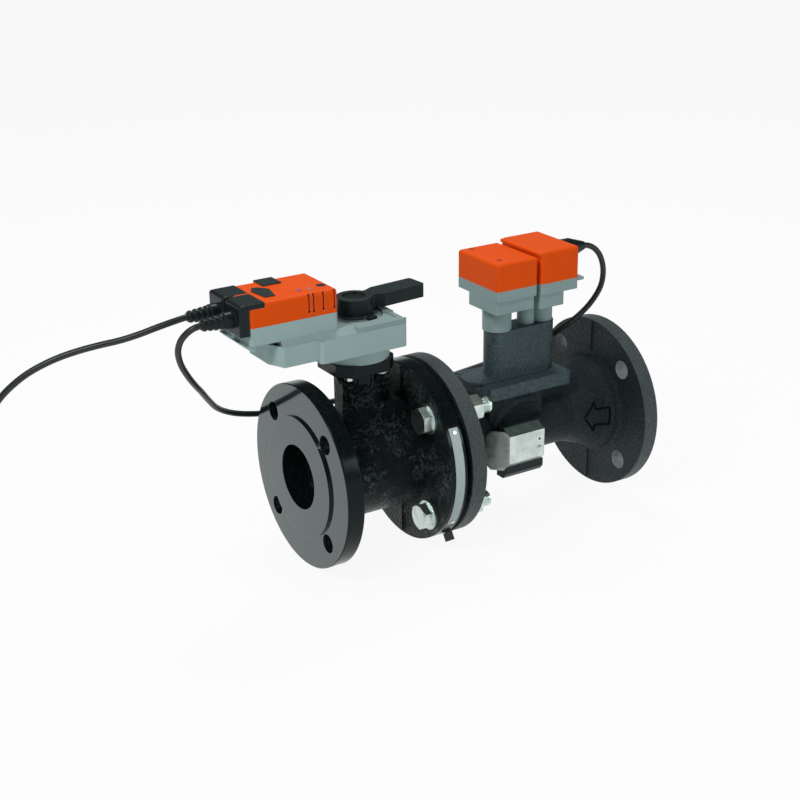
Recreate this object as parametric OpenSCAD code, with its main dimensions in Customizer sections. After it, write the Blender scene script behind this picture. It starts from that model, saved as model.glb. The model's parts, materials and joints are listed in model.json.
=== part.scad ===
// Pressure independent control valve: a flanged ball valve with its rotary drive,
// bolted to a flow sensor that carries two transmitters.
// X runs along the pipe from the outlet face to the inlet face, Z points up,
// and the origin is the centre of the outlet face.

/* [Pipe flanges] */
// Distance from the bolt circle to the edge of the flange
flange_margin = 20; // [17:0.5:26]
// Thickness of the valve's flange rims
flange_t = 18; // [16:0.5:22]
// Thickness of the sensor's flange rims
sensor_flange_t = 17; // [15:0.5:20]
// Height of the raised face
raised_h = 2.5; // [2:0.25:3]
// Diameter of the port at each end
port_d = 65; // [60:1:68]
// Distance from the barrel to the bolt circle
bolt_space = 20.5; // [20:0.5:24]
// Diameter of the bolt holes
bolt_hole_d = 19; // [18:0.5:20]
// Number of bolt holes
bolt_count = 4; // [4, 8]

/* [Ball valve] */
// Face to face length of the ball valve
valve_len = 139; // [137:1:145]
// Distance from the outlet face to the stem
stem_x = 67.5; // [66:0.5:69]
// Diameter of the ball
ball_d = 80; // [76:0.5:88]
// Wall of the barrel round the ball chamber
barrel_wall = 7; // [6:0.5:9]
// Diameter of the port through the ball
ball_port_d = 50; // [46:1:52]
// Width of the neck across its flats
neck_w = 40; // [38:1:42]
// Height of the mounting plate's underside above the pipe axis
plate_z = 101; // [99:0.5:104]
// Thickness of the mounting plate
plate_t = 12; // [10:0.5:12]
// Diameter of the stem
stem_d = 16; // [15:0.5:17]
// Thickness of the gasket between valve and sensor
gasket_t = 1; // [0.8:0.1:2]

/* [Joint bolts] */
// Thread diameter of the joint bolts
bolt_d = 16; // [15:0.5:17]
// Width of the bolt head across its flats
bolt_flats = 24; // [23:0.5:25]
// Height of the bolt head
bolt_head_h = 10; // [9:0.5:11]
// Height of the nut
nut_h = 13; // [12:0.5:14]
// Thickness of the washers
washer_t = 3; // [2.5:0.25:3.5]
// Length of thread that stands out of the nut
bolt_tail = 13; // [6:1:16]

/* [Flow sensor] */
// Face to face length of the flow sensor
sensor_len = 239; // [236:1:246]
// Outside diameter of the measuring tube
tube_d = 68; // [66:1:70]
// Diameter of the bore through the liner
liner_d = 48; // [46:1:50]
// Wall of the liner
liner_wall = 3; // [2.5:0.25:3.5]
// Half the depth of the sensor block
block_y = 30; // [29:0.5:31]
// Height of the platform's underside above the pipe axis
platform_z = 41.5; // [41:0.5:43]
// Thickness of the platform
platform_t = 14; // [12:0.5:16]
// Length of the platform along the pipe
platform_len = 101.5; // [99:0.5:103]
// Width of the pedestal
pedestal_w = 27; // [25:1:29]
// Height of the pedestal above its foot
pedestal_h = 48.5; // [44:0.5:54]

/* [Transmitters] */
// Depth of both transmitters
trans_y = 70; // [68:1:74]
// Length of the near transmitter
trans_a_len = 49.5; // [47:0.5:50]
// Length of the far transmitter
trans_b_len = 47; // [45:0.5:49]
// Gap between the transmitters
trans_gap = 4.5; // [4:0.5:6]
// Height of the near transmitter's orange cover
cover_a_h = 28; // [26:0.5:30]
// Height of the far transmitter's orange cover
cover_b_h = 33; // [31:0.5:36]
// Wall of the plastic housings
wall = 2; // [1.6:0.1:2.4]

/* [Rotary drive] */
// Width of the gearbox
gearbox_y = 80; // [78:1:84]
// Height of the lower gearbox shell
gearbox_h = 22.5; // [22:0.5:24]
// Height of the round collar under the gearbox
collar_h = 13.5; // [12:0.5:15]
// Diameter of the round collar
collar_d = 66; // [64:1:68]
// Length of the drive box
drive_len = 91; // [89:1:93]
// Depth of the drive box
drive_y = 62; // [60:1:64]
// Height of the grey drive shell
drive_h = 17; // [16:0.5:19]
// Height of the orange drive cover
drive_cover_h = 22.5; // [21:0.5:25]
// Reach of the hand lever from the stem
lever_len = 76; // [72:1:80]
// Angle of the lever to the pipe when the ball is open
lever_angle = 5.5; // [4:0.5:8]
// Tooth size of the gears (pitch diameter over teeth)
tooth = 1.25; // [1.25:0.05:1.3]

/* [Cables] */
// Diameter of both cables
cable_d = 6; // [5.5:0.1:6.2]
// Turns of the supply cable that is put away
coil_turns = 3; // [2:1:4]

/* [Hidden] */

// Overrun of every cut
over = 1;
// Clearance of a shaft that turns in a hole
run_gap = 0.05;
// Clearance between pieces that pass each other
gap = 0.3;
// Facets of round parts and of rounded corners
$fn = 96;
soft_fn = 32;

// Colours
paint = [0.05, 0.05, 0.06];
grey = [0.55, 0.62, 0.62];
orange = [0.85, 0.25, 0.08];
dark = [0.08, 0.09, 0.1];
zinc = [0.75, 0.78, 0.76];
steel = [0.7, 0.72, 0.72];
brass = [0.8, 0.65, 0.3];
green = [0.1, 0.4, 0.25];
rubber = [0.12, 0.12, 0.12];
white = [0.9, 0.9, 0.88];

// Pipe line: the flanges grow with the ball
ball_room = 5;
raised_gap = 2;
barrel_d = ball_d + 2 * ball_room + 2 * barrel_wall;
bolt_circle_d = barrel_d + 2 * bolt_space;
flange_r = bolt_circle_d / 2 + flange_margin;
raised_r = bolt_circle_d / 2 - bolt_hole_d / 2 - raised_gap;
port_r = port_d / 2;
edge = 0.8;
cove = 6;
rim_a = raised_h;
rim_b = valve_len - raised_h - flange_t;
sensor_x = valve_len + gasket_t;
sensor_end = sensor_x + sensor_len;
rim_c = sensor_x + raised_h;
rim_d = sensor_end - raised_h - sensor_flange_t;
mid_x = sensor_x + sensor_len / 2;
bolt_turn = 180 / bolt_count;
bolt_turns = [for (k = [0:bolt_count - 1]) bolt_turn + 360 * k / bolt_count];
arc_steps = [0:15:90];

// Ball chamber and seats
ball_r = ball_d / 2;
ball_port_r = ball_port_d / 2;
chamber_r = ball_r + ball_room;
seat_step = 2;
seat_r = ball_port_r + seat_step;
seat_out_r = ball_r - seat_step;
seat_near_share = 0.55;
seat_far_share = 0.85;
seat_near = ball_r * seat_near_share;
seat_far = ball_r * seat_far_share;
lip_near = seat_near + barrel_wall / 3;
throat_r = ball_port_r + seat_step / 2;
throat_len = 6.5;
seat_play = 0.3;

// Stem line
stem_r = stem_d / 2;
foot_r = 11.5;
foot_low = 1;
foot_high = 5.5;
shoulder_up = 6;
tang_down = 5.8;
foot_z = [ball_r + foot_low, ball_r + foot_high];
counter_r = 12;
tang = [10, 24];
tang_z = ball_r - tang_down;
shoulder_z = ball_r + shoulder_up;
slot_play = 0.1;
bush_r = 11;
bush_z = [58, 72, 80, 95];
ring_z = [74, 78];
ring_r = 1.35;
square_w = 11;
neck_ring_r = 21;
neck_ring_h = 13;
plate_half = [32, 30];
plate_cut = 12;
rib = [15.5, 32.5];
rib_y = 9;
rib_z = 91;
pad = [-7, 37];
pad_y = 22;
pad_z = 66;
pad_drop = 16;
screw_circle_r = 26;
screw_r = 2.5;
screw_flats = 8;
screw_head_h = 4;
screw_washer_r = 4.4;
screw_washer_t = 1;
screw_reach = 8;

// Name plate on the rim of the valve's second flange
tag_w = 10;
tag_t = 0.8;
tag_from = 148;
tag_to = 216;
tag_rivet_turn = 3;
tag_rivet_r = 2;
tag_rivet_h = 1;

// Gasket tab at the bottom of the near side
tab_turn = 236;
tab_w = 9;
tab_out = 9;
tab_t = 6;

// Flow sensor
liner_r = liner_d / 2;
tube_r = tube_d / 2;
hub_in = 21.5;
hub_step = 6;
hub_r = bolt_circle_d / 2 - hub_in;
hub_mid_r = hub_r - hub_step;
hub_len = 14;
hub_reach = 48;
inlet_len = 22;
cone_len = 26;
block_x = [-53.5, 12.5];
block_low = 30;
panel_y = 31;
ledge_z = 17;
ledge_y = 43;
ledge_x = [-45, -2.5, 11.5];
panel_x = [-36.5, 10.5];
duct_r = 4.5;
duct_bend = 42;
duct_x = -12;
duct_z = -5.5;
duct_from = 72;
duct_to = 154;
web_x = 47;
web_y = 20;
cover_x = [-45.8, -2.1];
cover_y = [35, 43, 54.5, 44];
cover_z = [16, 10, -19.5, -31];
cover_t = 1.2;
tray_x = [-47.5, 0];
tray_t = 7;
tray_y = [46, 50];
tray_chamfer = 5;
electrode_r = 2.5;
electrode_head_r = 6;
electrode_head_h = 4;
electrode_x = -24;
coil_in_r = 4;
coil_out_r = 11;
coil_z = [35.5, 40.5];
cover_screw_r = 2.6;
cover_shaft_r = 1.3;
cover_screw_x = 6;
cover_screw_z = [-10, 0];

// Platform, pedestal and transmitters
platform_x = [-53.5, 48];
nub = 4;
foot_x = [-64, 37.5];
foot_y = 17;
foot_cut = 9;
foot_t = 3;
pedestal_wall = 3;
pedestal_lid = 3;
platform_top = platform_z + platform_t;
foot_top = platform_top + foot_t;
pedestal_r = pedestal_w / 2;
pedestal_top = foot_top + pedestal_h;
trans_len = trans_a_len + trans_gap + trans_b_len;
trans_shift = 1;
trans_a_x = mid_x - trans_len / 2 + trans_shift;
trans_b_x = trans_a_x + trans_a_len + trans_gap;
cup_a_x = trans_a_x + trans_a_len / 2;
cup_b_shift = 3.5;
cup_c_back = 20;
cup_b_x = trans_b_x + trans_b_len / 2 + cup_b_shift;
cup_c_x = cup_b_x - cup_c_back;
cup_a_r = 15;
cup_b_r = 11.5;
cup_c_r = 9;
cup_a_h = 26.7;
cup_b_h = 24;
tier_a_h = 13.3;
tier_b_h = 14.5;
tier_b_len = 31;
tier_near = 33.5;
tier_far = 16;
base_a_h = 11;
base_b_h = 11.5;
tier_a_z = pedestal_top + cup_a_h;
shell_a_z = tier_a_z + tier_a_h;
cover_a_z = shell_a_z + base_a_h;
top_a_z = cover_a_z + cover_a_h;
tier_b_z = pedestal_top + cup_b_h;
shell_b_z = tier_b_z + tier_b_h;
cover_b_z = shell_b_z + base_b_h;
top_b_z = cover_b_z + cover_b_h;
house_r = 3;
lip_out = 2;
lip_h = 3;
board_t = 1.6;
board_in = 4;
board_lift = 8;
board_low = 4;
board_up = 9;
recess_r = 2.8;
recess_deep = 5;
recess_x = 13;
recess_y = [-20, 28];
screw_head_r = 2.3;
screw_shaft_r = 1.4;
gland_y = 0;
gland_z = 20;
gland_r = 10.5;
gland_core_r = 7;
gland_flange_r = 11;
gland_flange_t = 4;
gland_len = 10;
gland_dome = 8;
gland_dome_r = 8;
gland_tip_r = 4.4;
gland_tip_len = 11;
port_y = [-36, -25];
port_z = [-3, 10];
port_len = 6;

// Rotary drive, measured along X from the stem
plate_top = plate_z + plate_t;
case_z = plate_top + collar_h;
case_top = case_z + gearbox_h;
case_wall = 2.4;
case_floor = 2.6;
case_x = [-59, 35];
case_round = 4;
base_x = [-103, -102, -95];
base_y = [20, 36];
base_lift = 3;
base_floor = 2;
lid_h = 5;
lid_in = 5;
lid_step_x = -18.5;
lid_up = 0.6;
recess_lid_r = 27.5;
recess_lid_z = 2.4;
lid_hole_r = 12.4;
groove = [24, 28];
groove_y = 32;
cutout = [30.5, 40];
cutout_y = [14, 37];
cutout_deep = 1.6;
hub_out_r = 12;
hub_low = 3;
spigot_w = 14;
spigot_h = 10;
drive_end = -35;
drive_start = drive_end - drive_len;
drive_half = drive_y / 2;
drive_z = case_top + lid_h;
drive_mid = drive_z + drive_h;
drive_top = drive_mid + drive_cover_h;
drive_round = 3;
catch_z = drive_top - wall - gap;
skirt = [-129.5, -119.5];
skirt_y = 28;
skirt_h = 6;
lever_lift = 2;
lever_z = drive_z + lever_lift;
lever_h = 16;
lever_hub_r = 17.5;
lever_half = 12;
lever_waist = 8;
lever_waist_x = 19;
lever_wide_x = 28;
lever_under = 2.5;
lever_dish_r = 12;
lever_dish = 1.6;
lever_hole_r = 1.2;
lever_seam = 0.5;
lever_seam_x = 53;
lever_cut = 1.5;
lever_hole_x = 8;
lever_hole_y = 9;
lever_hole_deep = 3;
scale_in = 18.5;
scale_out = 26;
scale_t = 2;
stop_at = [-75, 12];
stop_w = 9;
stop_in = 20;
stop_h = 3.2;

// Gear train: teeth, and the height of each layer over the case floor
teeth_out = 48;
teeth_pinion = 12;
teeth_a = 32;
teeth_b = 28;
layer_a = [4.5, 10.5];
layer_b = [12, 16];
layer_c = [17.5, 21];
pinion_play = 0.4;
gear_a_x = stem_x - tooth * (teeth_out + teeth_pinion) / 2;
gear_b_x = gear_a_x - tooth * (teeth_a + teeth_pinion) / 2;
motor_x = gear_b_x - tooth * (teeth_b + teeth_pinion) / 2;
axle_r = 2;
shaft_r = 1.5;
motor_r = 12.5;
motor_h = 22;
motor_wall = 1;
rotor_r = 9;
rotor_in = 3;
shell_floor = 2;
addendum_share = 0.75;
dedendum_share = 1.1;
backlash_share = 0.08;
flank_shares = [0, 0.4, 0.72, 1];
flank_back_shares = [1, 0.72, 0.4, 0];

// Buttons, switch, hatch and vents of the drive
button = [-89, -70];
button_y = [13, 33];
button_rise = 1;
button_travel = 2.5;
catch_w = 1.2;
catch_t = 1.2;
key_x = [-67.3, -57.2];
key_y = [-16, -17.4];
key_r = 2;
key_rise = 0.5;
dial_x = -42.7;
dial_y = -13;
dial_r = 4.6;
dial_slot = 1.2;
dial_slot_deep = 0.8;
dial_catch = 0.6;
hatch_shape_x = [-106, -101, -95, -88, -93, -103];
hatch_shape_y = [4, 13.5, 12, 2.5, -19, -18];
hatch_t = 0.6;
vent_x = [-65, -60, -50, -38.6];
vent_w = 1.5;
vent_bulb_r = 1.3;
vent_low = 5.5;
vent_high = 21;

// Plugs and their sleeves
plug_out = 9;
plug_over = 16;
plug_near = [-31, 0];
plug_far = [3, 34];
plug_low = 9.5;
plug_lid = 4.5;
plug_round = 3;
plug_top = 0.3;
shell_gap = 1;
sleeve_z = 178;
sleeve_r = 8;
sleeve_root = 9;
sleeve_len = 31;
sleeve_end_r = 4.4;
sleeve_near_y = -15;
sleeve_far_y = 14;
sleeve_ribs = 4;
sleeve_rib_h = 1;
sleeve_rib_shares = [0.1, 0.3, 0.7, 0.9];
sleeve_root_share = 0.4;

// Route of the sensor cord, from the near plug to the gland of the far transmitter
sensor_route = [
    [-92, -15, 178], [-99.5, -15, 178], [-107, -13.5, 175.5], [-112.5, -10, 170], [-115.5, -5, 162],
    [-115, 1.5, 150], [-109.5, 8.5, 135], [-100, 16, 119.5], [-89.5, 26.5, 106], [-79, 38.5, 94],
    [-69, 51, 82], [-59, 63.5, 70.5], [-48, 75.5, 58.5], [-34.5, 85, 48], [-18, 91.5, 39.5],
    [1, 95, 33.5], [20.5, 96, 30], [40, 97, 27.5], [60, 98, 26], [80, 98.5, 25],
    [99.5, 99, 24.5], [119.5, 99.5, 24], [139.5, 99.5, 23.5], [159.5, 98.5, 23.5], [179.5, 97.5, 23],
    [199, 95.5, 23.5], [218.5, 92, 25], [238, 87, 27.5], [256, 81, 32], [273.5, 73, 38],
    [289, 63.5, 46], [302.5, 52, 55], [313.5, 38.5, 64.5], [323, 24.5, 75.5], [332, 12, 87.5],
    [342.5, 1.5, 100.5], [354, -5, 115.5], [363.5, -7, 131], [367.5, -5.5, 145.5], [366.5, -3.5, 158],
    [362, -2, 167.5], [354.5, -0.5, 174], [344, -0, 177], [328, 0, 177]
];
// Route of the supply cord, from the far plug down to the floor
supply_route = [
    [-92, 14, 178], [-99.5, 14, 178], [-110, 14.5, 176.5], [-126, 18, 172.5], [-142, 23, 167.5], [-158, 29.5, 163],
    [-174, 36, 160], [-189.5, 42.5, 156.5], [-205.5, 48.5, 152], [-221, 54, 146], [-236, 59.5, 138],
    [-249.5, 64, 128], [-261, 68.5, 116], [-270, 72.5, 101.5], [-277, 76.5, 86], [-282, 80, 69.5],
    [-286, 83.5, 53], [-288, 86.5, 35.5], [-290, 89.5, 18.5], [-291, 93, 1.5], [-292.5, 96, -16],
    [-295, 99.5, -33], [-298.5, 103.5, -49.5], [-304, 107, -65.5], [-312, 110, -78], [-320, 111.5, -84.5],
    [-329, 112, -88], [-340, 112, -88.5]
];
// Coil of the supply cord: the turns lie side by side on their tie
tie_t = 1;
tie_w = 9;
tie_turn = 20;
pitch_share = 1.1;
coil_pitch = cable_d * pitch_share;
coil_out_turn = 44;
coil_from = supply_route[len(supply_route) - 1];
coil_mid = [coil_from[0] - cable_d, coil_from[1] + coil_out_turn];
coil_count = 24 * coil_turns;
function coil_point(k) = let(a = -90 - 360 * k / 24, r = coil_out_turn - coil_pitch * k / 24)
    [coil_mid[0] + r * cos(a), coil_mid[1] + r * sin(a), coil_from[2]];
coil_turned = [for (k = [0:coil_count]) coil_point(k)];
coil_last = coil_turned[coil_count];
coil_way = unit(coil_last - coil_turned[coil_count - 1]);
coil_tail_turn = -30;
coil_run = [coil_way[0] * cos(coil_tail_turn) - coil_way[1] * sin(coil_tail_turn),
    coil_way[0] * sin(coil_tail_turn) + coil_way[1] * cos(coil_tail_turn), 0];
coil_route = concat([coil_from], coil_turned, [coil_last + cable_d * coil_run]);
coil_end = coil_route[len(coil_route) - 1];
coil_gap = min([for (i = [0:coil_count]) for (j = [i + 8:1:coil_count]) norm(coil_turned[i] - coil_turned[j])])
    - cable_d;
wire_r = 0.8;
wire_len = 22;
wire_apart = 2.4;
ferrule_r = 0.6;
ferrule_len = 6;

function unit(v) = v / norm(v);
function run_dir(p, i) = unit(p[min(i + 1, len(p) - 1)] - p[max(i - 1, 0)]);
function side_dirs(p, i = 0, n = [0, 0, 1]) = i == len(p) ? [] :
    let(t = run_dir(p, i), m = unit(n - (n * t) * t)) concat([m], side_dirs(p, i + 1, m));

module block(a, b) {
    translate(a) cube(b - a);
}

module post(z0, z1, r, x = 0, y = 0) {
    translate([x, y, z0]) cylinder(h = z1 - z0, r = r);
}

module bar_x(x0, x1, r, y = 0, z = 0) {
    translate([x0, y, z]) rotate([0, 90, 0]) cylinder(h = x1 - x0, r = r);
}

module bar_y(y0, y1, r, x = 0, z = 0) {
    translate([x, y0, z]) rotate([-90, 0, 0]) cylinder(h = y1 - y0, r = r);
}

module hex_x(x0, x1, flats, y, z) {
    translate([x0, y, z]) rotate([0, 90, 0]) cylinder(h = x1 - x0, r = flats / 2 / cos(30), $fn = 6);
}

module revolve_x(profile) {
    rotate([0, 90, 0]) rotate_extrude() polygon([for (p = profile) [p[1], p[0]]]);
}

module revolve_z(profile, x = 0, y = 0) {
    translate([x, y, 0]) rotate_extrude() polygon(profile);
}

module ring_z(z0, z1, r_in, r_out, x = 0, y = 0) {
    revolve_z([[r_in, z0], [r_out, z0], [r_out, z1], [r_in, z1]], x, y);
}

// Upright block with rounded vertical edges
module round_block(a, b, r) {
    block([a[0] + r, a[1], a[2]], [b[0] - r, b[1], b[2]]);
    block([a[0], a[1] + r, a[2]], [b[0], b[1] - r, b[2]]);
    for (x = [a[0] + r, b[0] - r], y = [a[1] + r, b[1] - r])
        post(a[2], b[2], r, x, y);
}

// Upright block with rounded vertical edges and a rounded top
module soft_block(a, b, r) {
    hull()
        for (x = [a[0] + r, b[0] - r], y = [a[1] + r, b[1] - r]) {
            translate([x, y, a[2]]) cylinder(h = r, r = r, $fn = soft_fn);
            translate([x, y, b[2] - r]) sphere(r = r, $fn = soft_fn);
        }
}

// Prism with a side view in X and Z
module side_prism(shape, y0, y1) {
    translate([0, y1, 0]) rotate([90, 0, 0]) linear_extrude(y1 - y0) polygon(shape);
}

// Prism with an end view in Y and Z
module end_prism(shape, x0, x1) {
    translate([x0, 0, 0]) rotate([90, 0, 90]) linear_extrude(x1 - x0) polygon(shape);
}

// Tube along a route: side directions are carried along so that it doesn't twist
module run_tube(p, r, sides) {
    m = side_dirs(p);
    rings = [for (i = [0:len(p) - 1]) for (k = [0:sides - 1])
        let(t = run_dir(p, i), a = 360 * k / sides) p[i] + r * (m[i] * cos(a) + cross(t, m[i]) * sin(a))];
    n = len(p) * sides;
    walls = [for (i = [0:len(p) - 2]) for (k = [0:sides - 1]) for (h = [0:1])
        let(a = i * sides + k, b = i * sides + (k + 1) % sides)
        h == 0 ? [a, a + sides, b] : [b, a + sides, b + sides]];
    first = [for (k = [1:sides - 2]) [0, k, k + 1]];
    last = [for (k = [1:sides - 2]) [n - sides, n - sides + k + 1, n - sides + k]];
    polyhedron(concat(rings), concat(walls, first, last));
}

// Spur gear: each flank is an involute down to the base circle and straight below it
function inv(r, base) = r <= base ? 0 : let(a = acos(base / r)) tan(a) * 180 / PI - a;
function half_tooth(n, r) = let(pitch = tooth * n / 2, base = pitch * cos(20))
    90 / n - backlash_share / n * 180 / PI + inv(pitch, base) - inv(r, base);
function flank_r(n, s) = tooth * (n / 2 - dedendum_share + (addendum_share + dedendum_share) * s);
function gear_shape(n) = [for (k = [0:n - 1]) for (side = [-1, 1])
    for (s = side < 0 ? flank_shares : flank_back_shares)
        let(r = flank_r(n, s), a = 360 * k / n + side * half_tooth(n, r)) [r * cos(a), r * sin(a)]];

module gear(n, turn, z0, z1, bore, x) {
    translate([x, 0, z0]) rotate([0, 0, turn]) difference() {
        linear_extrude(z1 - z0) polygon(gear_shape(n));
        translate([0, 0, -over]) cylinder(h = z1 - z0 + 2 * over, r = bore);
    }
}

// Flange rim with its raised face, from the face inwards
function rim(x, s, t, r_in) = [[x, raised_r], [x + s * raised_h, raised_r],
    [x + s * raised_h, flange_r - edge], [x + s * (raised_h + edge), flange_r],
    [x + s * (raised_h + t - edge), flange_r], [x + s * (raised_h + t), flange_r - edge]];
function cove_at(x, s, r) = [for (a = arc_steps) [x + s * cove * (1 - cos(a)), r + cove * (1 - sin(a))]];
function turned(p) = [for (i = [len(p) - 1:-1:0]) p[i]];

valve_shape = concat([[0, 0]], rim(0, 1, flange_t), cove_at(rim_a + flange_t, 1, barrel_d / 2),
    turned(cove_at(rim_b, -1, barrel_d / 2)), turned(rim(valve_len, -1, flange_t)), [[valve_len, 0]]);
throat_x = stem_x - seat_far - throat_len;
valve_bore = [[-over, 0], [-over, port_r], [throat_x, port_r], [throat_x, throat_r],
    [stem_x - seat_far, throat_r], [stem_x - seat_far, seat_out_r], [stem_x - lip_near, seat_out_r],
    [stem_x - lip_near, chamber_r], [valve_len + over, chamber_r], [valve_len + over, 0]];
plate_shape = [[-plate_half[0], -plate_half[1] + plate_cut], [-plate_half[0] + plate_cut, -plate_half[1]],
    [plate_half[0] - plate_cut, -plate_half[1]], [plate_half[0], -plate_half[1] + plate_cut],
    [plate_half[0], plate_half[1] - plate_cut], [plate_half[0] - plate_cut, plate_half[1]],
    [-plate_half[0] + plate_cut, plate_half[1]], [-plate_half[0], plate_half[1] - plate_cut]];

module flange_holes(x0, x1, d) {
    for (a = bolt_turns)
        bar_x(x0 - over, x1 + over, d / 2, bolt_circle_d / 2 * cos(a), bolt_circle_d / 2 * sin(a));
}

module at_screws() {
    for (a = [45:90:315])
        translate([stem_x + screw_circle_r * cos(a), screw_circle_r * sin(a), 0]) rotate([0, 0, a]) children();
}

module valve_body() color(paint) difference() {
    union() {
        revolve_x(valve_shape);
        translate([stem_x, 0, chamber_r]) rotate([0, 0, 22.5])
            cylinder(h = plate_z - chamber_r, r = neck_w / 2 / cos(22.5), $fn = 8);
        post(plate_z - neck_ring_h, plate_z, neck_ring_r, stem_x);
        translate([stem_x, 0, plate_z]) linear_extrude(plate_t) polygon(plate_shape);
        block([stem_x + rib[0], -rib_y, chamber_r], [stem_x + rib[1], rib_y, rib_z]);
        side_prism([[stem_x + pad[0], chamber_r], [stem_x + pad[0], pad_z - edge], [stem_x + pad[0] + edge, pad_z],
            [stem_x + pad[1], pad_z], [rim_b + edge, pad_z - pad_drop], [rim_b + edge, chamber_r]], -pad_y, pad_y);
    }
    revolve_x(valve_bore);
    post(tang_z, shoulder_z, counter_r, stem_x);
    post(tang_z, bush_z[0], stem_r + gap, stem_x);
    post(bush_z[0], plate_top + over, bush_r, stem_x);
    flange_holes(rim_a, rim_a + flange_t, bolt_hole_d);
    flange_holes(rim_b, rim_b + flange_t, joint_hole_d);
    at_screws() post(plate_z - over, plate_top + over, screw_r);
}

insert_x = stem_x + seat_far;
insert_throat_x = insert_x + throat_len;

module body_insert() color(paint) revolve_x([
    [stem_x + lip_near, seat_out_r], [stem_x + lip_near, chamber_r], [valve_len, chamber_r], [valve_len, port_r],
    [insert_throat_x, port_r], [insert_throat_x, throat_r], [insert_x, throat_r], [insert_x, seat_out_r]]);

module ball_seats() color(white) difference() {
    for (s = [-1, 1])
        revolve_x([[stem_x + s * seat_near, seat_r], [stem_x + s * seat_near, seat_out_r],
            [stem_x + s * seat_far, seat_out_r], [stem_x + s * seat_far, seat_r]]);
    translate([stem_x, 0, 0]) sphere(r = ball_r + seat_play);
}

module stem_bushes() color(brass) {
    ring_z(bush_z[0], bush_z[1], stem_r + run_gap, bush_r, stem_x);
    ring_z(bush_z[2], bush_z[3], stem_r + run_gap, bush_r, stem_x);
}

module stem_seals() color(rubber)
    for (z = ring_z)
        translate([stem_x, 0, z]) rotate_extrude() translate([bush_r - ring_r, 0]) circle(r = ring_r);

module data_plate() color(steel) rotate([0, 90, 0])
    translate([0, 0, rim_b + (flange_t - tag_w) / 2])
        rotate([0, 0, tag_from + 90]) rotate_extrude(angle = tag_to - tag_from)
            translate([flange_r + run_gap, 0]) square([tag_t, tag_w]);

module plate_rivets() color(zinc)
    for (a = [tag_from + tag_rivet_turn, tag_to - tag_rivet_turn])
        rotate([a, 0, 0])
            bar_y(flange_r + run_gap + tag_t, flange_r + run_gap + tag_t + tag_rivet_h, tag_rivet_r,
                rim_b + flange_t / 2);

module ball() color(steel) difference() {
    translate([stem_x, 0, 0]) sphere(r = ball_r);
    bar_x(stem_x - ball_d, stem_x + ball_d, ball_port_r);
    block([stem_x - tang[0] / 2 - slot_play, -ball_r, tang_z - slot_play],
        [stem_x + tang[0] / 2 + slot_play, ball_r, ball_d]);
}

module stem() color(steel) {
    block([stem_x - tang[0] / 2, -tang[1] / 2, tang_z], [stem_x + tang[0] / 2, tang[1] / 2, foot_z[0]]);
    post(foot_z[0], foot_z[1], foot_r, stem_x);
    post(foot_z[1], plate_top + hub_low, stem_r, stem_x);
    block([stem_x - square_w / 2, -square_w / 2, plate_top + hub_low],
        [stem_x + square_w / 2, square_w / 2, case_top - hub_low]);
}

module mounting_screws() color(zinc) at_screws() {
    post(plate_z - screw_washer_t, plate_z, screw_washer_r);
    translate([0, 0, plate_z - screw_washer_t - screw_head_h])
        cylinder(h = screw_head_h, r = screw_flats / 2 / cos(30), $fn = 6);
    post(plate_z - screw_washer_t, plate_top + screw_reach, screw_r);
}

module at_bolts() {
    for (a = bolt_turns)
        translate([0, bolt_circle_d / 2 * cos(a), bolt_circle_d / 2 * sin(a)]) children();
}

// Hexagon with its outer corners turned off at one or both ends
module hex_piece(x0, x1, flats, s0, s1) {
    corner = flats / 2 / cos(30);
    bevel = corner - flats / 2;
    intersection() {
        hex_x(x0, x1, flats, 0, 0);
        revolve_x([[x0, 0], [x0, corner - s0 * bevel], [x0 + s0 * bevel * tan(30), corner],
            [x1 - s1 * bevel * tan(30), corner], [x1, corner - s1 * bevel], [x1, 0]]);
    }
}

head_x = rim_b - washer_t;
nut_x = rim_c + sensor_flange_t + washer_t;
tail_x = nut_x + nut_h;
bolt_r = bolt_d / 2;
joint_clear = 2;
joint_hole_d = bolt_d + joint_clear;
washer_out = 3;
washer_r = bolt_flats / 2 + washer_out;
thread_pitch = 2;
thread_deep = 0.9;
thread_count = floor(bolt_tail / thread_pitch) - 1;

module joint_gasket() color(dark) {
    revolve_x([[valve_len, port_r], [valve_len, raised_r], [sensor_x, raised_r], [sensor_x, port_r]]);
    difference() {
        rotate([tab_turn, 0, 0]) {
            block([valve_len, 0, -tab_w / 2], [sensor_x, flange_r + tab_out, tab_w / 2]);
            block([valve_len + gasket_t / 2 - tab_t / 2, flange_r + gap, -tab_w / 2],
                [valve_len + gasket_t / 2 + tab_t / 2, flange_r + tab_out, tab_w / 2]);
        }
        bar_x(0, sensor_end, raised_r - edge);
    }
}

module joint_bolts() color(zinc) at_bolts() {
    hex_piece(head_x - bolt_head_h, head_x, bolt_flats, 1, 0);
    revolve_x(concat([[head_x, 0], [head_x, bolt_r], [tail_x, bolt_r]],
        [for (k = [0:thread_count - 1]) for (p = [[0, bolt_r], [thread_pitch / 4, bolt_r - thread_deep],
            [thread_pitch / 2, bolt_r - thread_deep], [thread_pitch * 3 / 4, bolt_r]])
            [tail_x + thread_pitch * k + p[0] + edge / 4, p[1]]],
        [[tail_x + bolt_tail - edge, bolt_r], [tail_x + bolt_tail, bolt_r - edge], [tail_x + bolt_tail, 0]]));
}

module joint_nuts() color(zinc) at_bolts() difference() {
    hex_piece(nut_x, tail_x, bolt_flats, 0, 1);
    bar_x(nut_x - over, tail_x + over, bolt_r);
}

module joint_washers() color(zinc) at_bolts()
    for (x = [head_x, nut_x - washer_t])
        revolve_x([[x, bolt_r], [x, washer_r], [x + washer_t, washer_r], [x + washer_t, bolt_r]]);

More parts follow.
